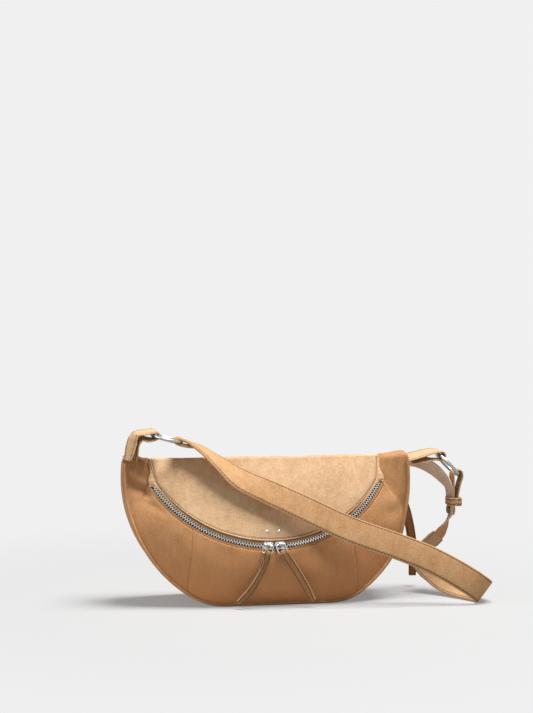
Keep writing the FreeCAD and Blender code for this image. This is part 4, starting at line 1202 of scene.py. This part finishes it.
@dataclass
class ShoulderStrap:
    """Strap, its holed tail, the folded end on the right ring, the tabs and the keeper."""

    form: BagForm
    finishes: Finishes
    depth: float = 3.639 * MM
    left_pin: Pair = (-0.119, 0.1725)
    right_pin: Pair = (0.185, 0.147)
    ring: float = 15.5 * MM
    left_tilt: float = 15
    right_tilt: float = 46
    width: float = 28 * MM
    tail_width: float = 18 * MM
    lift: float = 0.9 * MM
    leather: float = 1.7 * MM
    wrap: float = 3.6 * MM
    bends: int = 4

    def build(self) -> None:
        """Make the strap's pieces."""
        self.strap()
        self.tail()
        self.chape()
        self.keeper()
        self.left_tab()
        self.right_tab()

    def flat(
        self, x: float, z: float, width: float, cross: Vector = BACK, aside: float = 0.0
    ) -> Station:
        """Return a station in the plane of the rings' middles, or beside it."""
        return Vector((x, self.depth + aside, z)), cross, width

    def loop(
        self, centre: Pair, radius: float, turn: Pair, width: float
    ) -> list[Station]:
        """Return stations round a ring's wire.

        Args:
            centre: the wire's middle along the bag and up.
            radius: of the leather's middle.
            turn: angles of the first and the last station in degrees.
            width: of the leather.

        Returns:
            The stations.
        """
        stations = []
        for k in range(self.bends + 1):
            angle = math.radians(turn[0] + (turn[1] - turn[0]) * k / self.bends)
            x = centre[0] + radius * math.cos(angle)
            stations.append(self.flat(x, centre[1] + radius * math.sin(angle), width))
        return stations

    def scaled(self, rows: Sequence[tuple]) -> list[Station]:
        """Return a table's rows as stations.

        Args:
            rows: shares of the bag's half width, half depth and height, strap widths over that height, the
                cross direction and the share of the strap's width.

        Returns:
            The stations.
        """
        half, deep, high, wide = self.form.half_width, self.form.half_depth, self.form.horn, self.width
        return [
            (Vector((x * half, y * deep, z * high + w * wide)), Vector(cross), width * wide)
            for x, y, z, w, cross, width in rows
        ]

    def far_wire(self, pin: Pair, tilt: float) -> Pair:
        """Return the wire across a ring from its tab.

        Args:
            pin: the wire in the tab.
            tilt: the ring's slope in degrees.

        Returns:
            The wire's place along the bag and up.
        """
        angle = math.radians(tilt)
        return pin[0] + 2 * self.ring * math.cos(angle), pin[1] - 2 * self.ring * math.sin(angle)

    def strap(self) -> None:
        """Make the strap from the left ring to the end of its doubled layers."""
        x, z = self.far_wire(self.left_pin, self.left_tilt)
        slope = math.radians(22)
        run = Vector((math.cos(slope), 0, -math.sin(slope)))
        up = Vector((math.sin(slope), 0, math.cos(slope)))
        eye = Vector((x, self.depth, z))
        path = [
            (eye + run * (14 * MM) - up * (0.6 * MM), BACK, 15 * MM),
            (eye + run * (6 * MM) - up * (2.6 * MM), BACK, 18 * MM),
        ]
        for k in range(self.bends + 1):
            angle = math.pi * k / self.bends
            back = run * (-3.2 * MM - self.wrap * math.sin(angle))
            path.append((eye + back - up * (self.wrap * math.cos(angle)), BACK, 18 * MM))
        path.append((eye + run * (7 * MM) + up * self.wrap, BACK, 19 * MM))
        way = Route(path + self.scaled(STRAP_ROUTE))
        sheet = way.sheet("shoulder_strap", 0.8 * MM, 2.8 * MM, rows=10, cup=0.5 * MM)
        made = sheet.make(self.finishes.strap, self.finishes.inner)
        settle(made, Body.STRAP, "suede", "strap_face", "strap_lining")

    def tail(self) -> None:
        """Make the narrow holed tail, flesh side to the front."""
        side = self.far_wire(self.right_pin, self.right_tilt)[0] - 7.8 * MM
        turned = Vector((-0.22, 0.97, -0.05))
        path = self.scaled(TAIL_LOW)
        for height, cross in ((0.0838, BACK), (0.0878, BACK), (0.0967, turned), (TAIL_BEND, turned)):
            path.append(self.flat(side, height, self.tail_width, cross))
        for x, y, z, cross in TAIL_HIGH:
            path.append(self.flat(side + x, TAIL_BEND + z, self.tail_width, Vector(cross), y))
        sheet = Route(path).sheet("strap_tail_leather", self.lift, 1.8 * MM, cup=0.3 * MM)
        settle(sheet.make(self.finishes.flesh, self.finishes.suede), Body.STRAP, "flesh", "strap_tail")

    def chape(self) -> None:
        """Make the folded end that hangs on the right ring."""
        x, z = self.far_wire(self.right_pin, self.right_tilt)
        path = [
            self.flat(x + out * MM, z - drop * MM, width * MM)
            for out, drop, width in ((-1.6, 30, 16), (-0.6, 20, 17), (1.6, 10, 17), (4, 2, 17))
        ]
        path += self.loop((x - 0.8 * MM, z + 1.2 * MM), 4.8 * MM, (0, 180), 17 * MM)
        path += [self.flat(x - 5.6 * MM, z - drop * MM, self.tail_width) for drop in (6, 14, 24, 34, 42)]
        sheet = Route(path).sheet("right_chape_leather", self.lift, self.leather)
        settle(sheet.make(self.finishes.sewn), Body.STRAP, "suede", "right_chape")

    def keeper(self) -> None:
        """Make the narrow loop round the tail and the folded end."""
        low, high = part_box("strap_keeper")
        low, high = Vector(low), Vector(high) - Vector((3.2 * MM, 0, 0))
        centre, reach = (low + high) / 2, (high - low) / 2

        def place(around: float, up: float) -> Vector:
            angle = 2 * math.pi * around
            cos, sin = math.cos(angle), math.sin(angle)
            x = math.copysign(abs(cos) ** 0.35, cos) * reach.x
            y = math.copysign(abs(sin) ** 0.35, sin) * reach.y
            return centre + Vector((x, y, (up - 0.5) * 2 * reach.z))

        def sewing(around: float, up: float) -> Pair:
            return around * 0.07, from_end(up) * 9 * MM

        sheet = Sheet("keeper_leather", 48, 4, place, sewing, 1.3 * MM)
        settle(sheet.make(self.finishes.sewn), Body.KEEPER, "suede", "strap_keeper")

    def rows(self, table: Sequence[tuple]) -> list[Station]:
        """Return a table's rows as stations.

        Args:
            table: places along the bag and up, width, cross direction and depth behind the rings, in mm.

        Returns:
            The stations.
        """
        return [self.flat(x * MM, z * MM, wide * MM, cross, deep * MM) for x, z, wide, cross, deep in table]

    def left_tab(self) -> None:
        """Make the tab that carries the left ring."""
        x, z = self.left_pin
        beside, turn, over = Vector((-0.55, 0.83, 0)), Vector((-0.3, 0.93, 0.15)), Vector((0, 0.98, 0.2))
        path = self.rows((
            (-145.5, 147.5, 8, beside, -9),
            (-144.8, 149, 13, beside, -8.5),
            (-143, 155, 15, beside, -7),
            (-140.8, 163, 17, beside, -4),
            (-138.6, 170.2, 19, turn, -1.5),
            (-135.2, 174.2, 19, over, 0),
            (-126.2, 175.2, 19, over, 0),
            (-119, 176.4, 19, over, 0),
        ))
        path += self.loop((x + 3 * MM, z - 0.4 * MM), 3.9 * MM, (70, -70), 18 * MM)
        path += self.rows((
            (-123, 167.8, 18, over, 0),
            (-129.5, 169, 18, over, 0),
            (-135.8, 163.6, 19, turn, 0),
            (-139, 156, 20, beside, 0),
            (-140.5, 148, 16, beside, 6),
            (-141, 142, 11, beside, 9),
        ))
        sheet = Route(path).sheet("left_tab_leather", self.lift, self.leather)
        start, end = Vector((-0.143, self.depth, 0.15)), Vector((x - 2 * MM, self.depth, z))
        span(sheet.make(self.finishes.sewn), Body.STRAP, start, end, "left_tab")

    def right_tab(self) -> None:
        """Make the tab that carries the right ring."""
        x, z = self.right_pin
        over, level = Vector((0, 0.96, 0.28)), Vector((0, 0.98, 0.2))
        path = self.rows((
            (142.6, 138.5, 12, over, 4),
            (148.6, 142.5, 20, over, 1.5),
            (157.6, 145.5, 21, over, 0),
            (168.6, 148.2, 19, over, 0),
            (179, 150.4, 19, level, 0),
        ))
        path += self.loop((x + 2.2 * MM, z - 1.2 * MM), 4.4 * MM, (80, -80), 18 * MM)
        path += self.rows((
            (179, 141.8, 19, BACK, 0),
            (169.6, 141.8, 19, over, 0),
            (160.6, 141, 19, over, 0),
            (155.6, 140.2, 17, over, 0),
        ))
        sheet = Route(path).sheet("right_tab_leather", self.lift, self.leather)
        start, end = Vector((0.1556, self.depth, 0.142)), Vector((x - 2 * MM, self.depth, z))
        span(sheet.make(self.finishes.sewn), Body.STRAP, start, end, "right_tab")


STRAP_ROUTE = (
    (-0.455, 0.0, 1.085, 0.0, (0.06, 0.95, 0.25), 0.8),
    (-0.335, -0.23, 0.99, 0.0, (0.18, 0.85, 0.4), 0.95),
    (-0.203, -0.5, 0.88, 0.0, (0.25, 0.65, 0.65), 1),
    (-0.007, -0.82, 0.785, 0.0, (0.3, 0.5, 0.8), 1),
    (0.189, -1.083, 0.692, 0.0, (0.32, 0.4, 0.86), 1),
    (0.515, -1.417, 0.534, 0.0, (0.32, 0.34, 0.88), 1),
    (0.847, -1.66, 0.41, 0.0, (0.32, 0.3, 0.9), 1),
    (1.05, -1.79, 0.325, 0.0, (0.32, 0.25, 0.9), 1),
    (1.19, -1.92, 0.25, 0.0, (0.33, 0.2, 0.92), 1),
    (1.335, -2.02, 0.0, 0.83, (0.4, 0.1, 0.91), 1),
    (1.42, -1.94, 0.0, 0.5, (0.55, 0.0, 0.83), 1),
    (1.45, -1.66, 0.0, 0.36, (0.68, 0.25, 0.68), 1),
    (1.42, -1.27, 0.0, 0.28, (0.66, 0.55, 0.5), 1),
    (1.345, -0.77, 0.0, 0.28, (0.6, 0.65, 0.46), 1),
    (1.258, -0.27, 0.0, 0.46, (0.55, 0.62, 0.56), 1),
    (1.175, 0.09, 0.0, 0.84, (0.5, 0.6, 0.6), 1),
    (1.12, 0.3, 0.0, 1.1, (0.62, 0.72, 0.3), 1),
    (1.11, 0.39, 0.0, 1.4, (0.66, 0.75, 0.0), 1),
    (1.155, 0.39, 0.0, 1.7, (0.68, 0.68, -0.25), 1),
    (1.216, 0.36, 0.0, 1.95, (0.68, 0.62, -0.38), 1),
    (1.254, 0.33, 0.0, 2.13, (0.66, 0.64, -0.36), 0.95),
)
TAIL_LOW = (
    (1.22, 0.35, 0.0, 1.97, (0.68, 0.62, -0.38), 0.84),
    (1.256, 0.3, 0.0, 2.15, (0.66, 0.64, -0.36), 0.8),
    (1.283, 0.23, 0.0, 2.42, (0.58, 0.75, -0.3), 0.72),
    (1.308, 0.15, 0.0, 2.74, (0.3, 0.92, -0.15), 0.66),
)
TAIL_BEND = 0.1057
TAIL_HIGH = (
    (-0.002, 0.0, 0.007, (-0.2, 0.95, -0.15)),
    (-0.0085, 0.0015, 0.0165, (-0.4, 0.85, -0.35)),
    (-0.0185, 0.004, 0.0255, (-0.45, 0.75, -0.48)),
    (-0.031, 0.008, 0.032, (-0.35, 0.7, -0.62)),
    (-0.044, 0.012, 0.0345, (-0.2, 0.7, -0.68)),
)


def turned(lean: float, splay: float) -> Matrix:
    """Return the turn of a hanging piece that leans to the front and splays sideways, in degrees."""
    return Matrix.Rotation(math.radians(-lean), 3, "X") @ Matrix.Rotation(math.radians(-splay), 3, "Y")


@dataclass(frozen=True)
class Pull:
    """A leather strip that is doubled round the link of a slider, in millimetres and degrees.

    The link hangs from the slider's eye, with its length, lean and splay. The strip hangs from the link with
    a lean and splay of its own. Its bend is how far its middle bows aside, and its twist near the link and
    at the tip.
    """

    body: Body
    eye: Triple
    link: Triple
    hang: Pair
    length: float
    width: float
    bend: Triple
    near: float = 0.58
    wide: float = 2.75

    def make(self, material: Material) -> None:
        """Make the strip.

        Args:
            material: its finish.
        """
        reach, *slant = self.link
        bar = Vector([size * MM for size in self.eye]) + turned(*slant) @ Vector((0, 0, -reach * MM))
        turn = turned(*self.hang)
        bow, first, last = self.bend

        def station(out: float, height: float, share: float) -> Station:
            part = max(0.0, -height / self.length)
            twist = math.radians((first + (last - first) * part) * smooth(part, 0.0, 0.2))
            cross = Vector((-math.cos(twist), -math.sin(twist), 0))
            face = Vector((-math.sin(twist), math.cos(twist), 0))
            middle = Vector((4 * bow * MM * part * (1 - part), 0, height * MM))
            return bar + turn @ (middle + face * (out * MM)), turn @ cross, self.width * MM * share

        leg = (
            (self.near, -self.length, 0.82),
            (self.near, -self.length * 0.7, 1),
            (self.near, -self.length * 0.35, 1),
            (1.2, -9, 1),
            (self.wide, -1, 0.9),
            (2, 1.9, 0.9),
        )
        path = [station(-out, height, share) for out, height, share in leg]
        path.append(station(0, self.wide, 0.9))
        path += [station(*row) for row in reversed(leg)]
        name = self.body.value
        sheet = Route(path).sheet(name + "_leather", 0.6 * MM, 1.1 * MM, rows=6)
        settle(sheet.make(material), self.body, "suede", name)


PULLS = (
    Pull(Body.LEFT_PULL, (-5.954, -47.578, 63.343), (9.5, 31, -16), (4, -31), 58, 8.4, (4.8, 58, 12)),
    Pull(Body.RIGHT_PULL, (5.954, -47.578, 63.343), (9.5, 31, 16), (4, 31), 58, 8.4, (1.5, -5, -38)),
    Pull(Body.BACK_PULL, (138.5, 22.664, 127.349), (25, -21, 26), (-7, 11), 98, 10, (6, 8, -8)),
)


@dataclass
class ZipChain:
    """The front zip's two rows of teeth."""

    form: BagForm
    finishes: Finishes
    pitch: float = 2.8 * MM
    tooth: Triple = (1.25 * MM, 2.8 * MM, 2.0 * MM)
    rise: float = 0.9 * MM
    aside: float = 0.85 * MM
    bevel: float = 0.35 * MM
    hidden: int = 2

    def build(self) -> None:
        """Set one bevelled tooth along each side of the zip."""
        form = self.form
        sweep = 2 * form.zip_angle
        count = int(sweep * form.zip_radius / self.pitch)
        for name, body, side, shift in (
            ("upper_zip_teeth", Body.FLAP, -1, 0.25),
            ("lower_zip_teeth", Body.BAG, 1, 0.75),
        ):
            mesh = bmesh.new()
            for k in range(self.hidden, count - self.hidden):
                angle = sweep * ((k + shift) / count - 0.5)
                middle = form.on_zip(angle, form.zip_radius + side * self.aside, self.rise)
                outward = (form.on_zip(angle, form.zip_radius + 1, self.rise) - middle).normalized()
                rise = (form.on_zip(angle, 0, 1) - form.on_zip(angle, 0, 0)).normalized()
                turn = Matrix((outward.cross(rise), outward, rise)).transposed().to_4x4()
                place = Matrix.Translation(middle) @ turn @ Matrix.Diagonal((*self.tooth, 1))
                bmesh.ops.create_cube(mesh, size=1, matrix=place)
            bmesh.ops.bevel(mesh, geom=mesh.edges[:], offset=self.bevel, segments=1, affect="EDGES")
            settle(new_piece(mesh, name + "_row", self.finishes.teeth), body, "silver", name)


@dataclass
class Fittings:
    """Metal and hidden pieces that keep the solids' own shape."""

    finishes: Finishes

    def dress(self) -> None:
        """Give each carried-over solid its finish."""
        dressed = {
            self.finishes.silver: (
                "left_ring", "right_ring", "left_slider", "right_slider",
                "back_slider", "left_link", "right_link", "back_link",
            ),
            self.finishes.teeth: ("back_zip_teeth", "zip_end_stops"),
            self.finishes.tape: ("back_zip_tape",),
            self.finishes.lining: ("pocket_pouch",),
            self.finishes.board: ("base_board",),
            self.finishes.brown: ("strap_stud",),
        }
        for material, nodes in dressed.items():
            for node in nodes:
                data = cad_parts[node].data
                data.materials.clear()
                data.materials.append(material)


def facing(spot: Vector, aim: Sequence[float]) -> Euler:
    """Return the turn of a lamp or a camera that faces a point."""
    return (Vector(aim) - spot).to_track_quat("-Z", "Y").to_euler()


@dataclass
class Studio:
    """Floor, light and camera."""

    distance: float = 1.8
    azimuth: float = math.radians(-10)
    elevation: float = math.radians(11)
    pixel: float = 1.055 * MM
    ground: Colour = (0.871, 0.871, 0.871, 1)
    near_ground: Colour = (0.9, 0.9, 0.9, 1)
    lit_ground: Colour = (0.452, 0.452, 0.452, 1)
    bounce_ground: Colour = (0.38, 0.38, 0.38, 1)
    air: Colour = (1, 0.99, 0.98, 1)
    air_light: float = 0.12
    aim: Triple = (0, 0, 0.2525)
    lamp_aim: Triple = (0.03, 0, 0.06)
    picture_width: int = 533
    sensor: float = 36

    def build(self) -> None:
        """Set the stage."""
        bpy.context.scene.view_settings.view_transform = "Standard"
        self.floor()
        self.world()
        self.lamp("key", (0.8, -0.1, 3.4), 1.7, 214)
        self.lamp("fill", (-0.5, -1.7, 0.8), 1.2, 2.2)
        self.lamp("rim", (-1.5, -0.4, 0.45), 1.0, 7)
        self.camera()

    def floor(self) -> None:
        """Lay the pale floor, which fades into the background."""
        mesh = bmesh.new()
        bmesh.ops.create_grid(mesh, x_segments=1, y_segments=1, size=14)
        coat = Coat("pale_floor")
        where = coat.node("ShaderNodeTexCoord", out="Object")
        away = coat.node("ShaderNodeVectorMath", {"operation": "LENGTH"}, "Value", Vector=where)
        far = away.step(0.25, 0.6)
        coat.set(Roughness=0.9, Specular_IOR_Level=0.1)
        shown = coat.mix(far, self.near_ground, self.ground)
        glow = coat.node("ShaderNodeEmission", Color=shown, Strength=1.0)
        seen = coat.node("ShaderNodeLightPath", out="Is Camera Ray")
        coat.set(Base_Color=coat.mix(seen, self.bounce_ground, self.lit_ground))
        made = coat.tree.nodes.new("ShaderNodeMixShader")
        join(coat.tree, made.inputs[0], seen * (0.25 + far * 0.75))
        coat.tree.links.new(coat.shader.outputs[0], made.inputs[1])
        join(coat.tree, made.inputs[2], glow)
        coat.tree.links.new(made.outputs[0], coat.output.inputs[0])
        new_piece(mesh, "floor", coat.material)

    def world(self) -> None:
        """Make the even surrounding light and the plain background."""
        world = bpy.data.worlds.new("studio")
        bpy.context.scene.world = world
        world.use_nodes = True
        tree = world.node_tree
        tree.nodes.clear()
        path = tree.nodes.new("ShaderNodeLightPath")
        seen = Shade(tree, path.outputs["Is Camera Ray"]) + Shade(tree, path.outputs["Is Glossy Ray"])
        seen = seen + Shade(tree, path.outputs["Is Transmission Ray"])
        soft = tree.nodes.new("ShaderNodeBackground")
        soft.inputs[0].default_value = self.air
        soft.inputs[1].default_value = self.air_light
        plain = tree.nodes.new("ShaderNodeBackground")
        plain.inputs[0].default_value = self.ground
        mixed = tree.nodes.new("ShaderNodeMixShader")
        join(tree, mixed.inputs[0], seen.math("MINIMUM", seen, 1.0))
        tree.links.new(soft.outputs[0], mixed.inputs[1])
        tree.links.new(plain.outputs[0], mixed.inputs[2])
        output = tree.nodes.new("ShaderNodeOutputWorld")
        tree.links.new(mixed.outputs[0], output.inputs[0])

    def lamp(self, name: str, spot: Sequence[float], size: float, power: float) -> None:
        """Hang a soft lamp that points at the bag.

        Args:
            name: the lamp's name.
            spot: where it hangs.
            size: its width.
            power: in watts.
        """
        data = bpy.data.lights.new(name, "AREA")
        data.size = size
        data.energy = power
        lamp = bpy.data.objects.new(name, data)
        lamp.location = spot
        lamp.rotation_euler = facing(lamp.location, self.lamp_aim)
        bpy.context.scene.collection.objects.link(lamp)

    def camera(self) -> None:
        """Set the camera at the viewing angle, with the bag low in the frame."""
        data = bpy.data.cameras.new("camera")
        camera = bpy.data.objects.new("camera", data)
        turn = Vector((
            math.sin(self.azimuth) * math.cos(self.elevation),
            -math.cos(self.azimuth) * math.cos(self.elevation),
            math.sin(self.elevation),
        ))
        camera.location = turn * self.distance
        camera.rotation_euler = facing(camera.location, self.aim)
        data.sensor_fit = "HORIZONTAL"
        data.sensor_width = self.sensor
        data.lens = self.sensor * self.distance / (self.picture_width * self.pixel)
        bpy.context.scene.collection.objects.link(camera)
        bpy.context.scene.camera = camera


def main() -> None:
    """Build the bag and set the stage."""
    logging.basicConfig(level=logging.INFO)
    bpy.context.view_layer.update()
    form = BagForm()
    finishes = Finishes()
    Studio().build()
    BagShell(form, finishes).build()
    Flap(form, finishes).build()
    ShoulderStrap(form, finishes).build()
    for pull in PULLS:
        pull.make(finishes.pull)
    ZipChain(form, finishes).build()
    Fittings(finishes).dress()


if __name__ == "__main__":
    main()
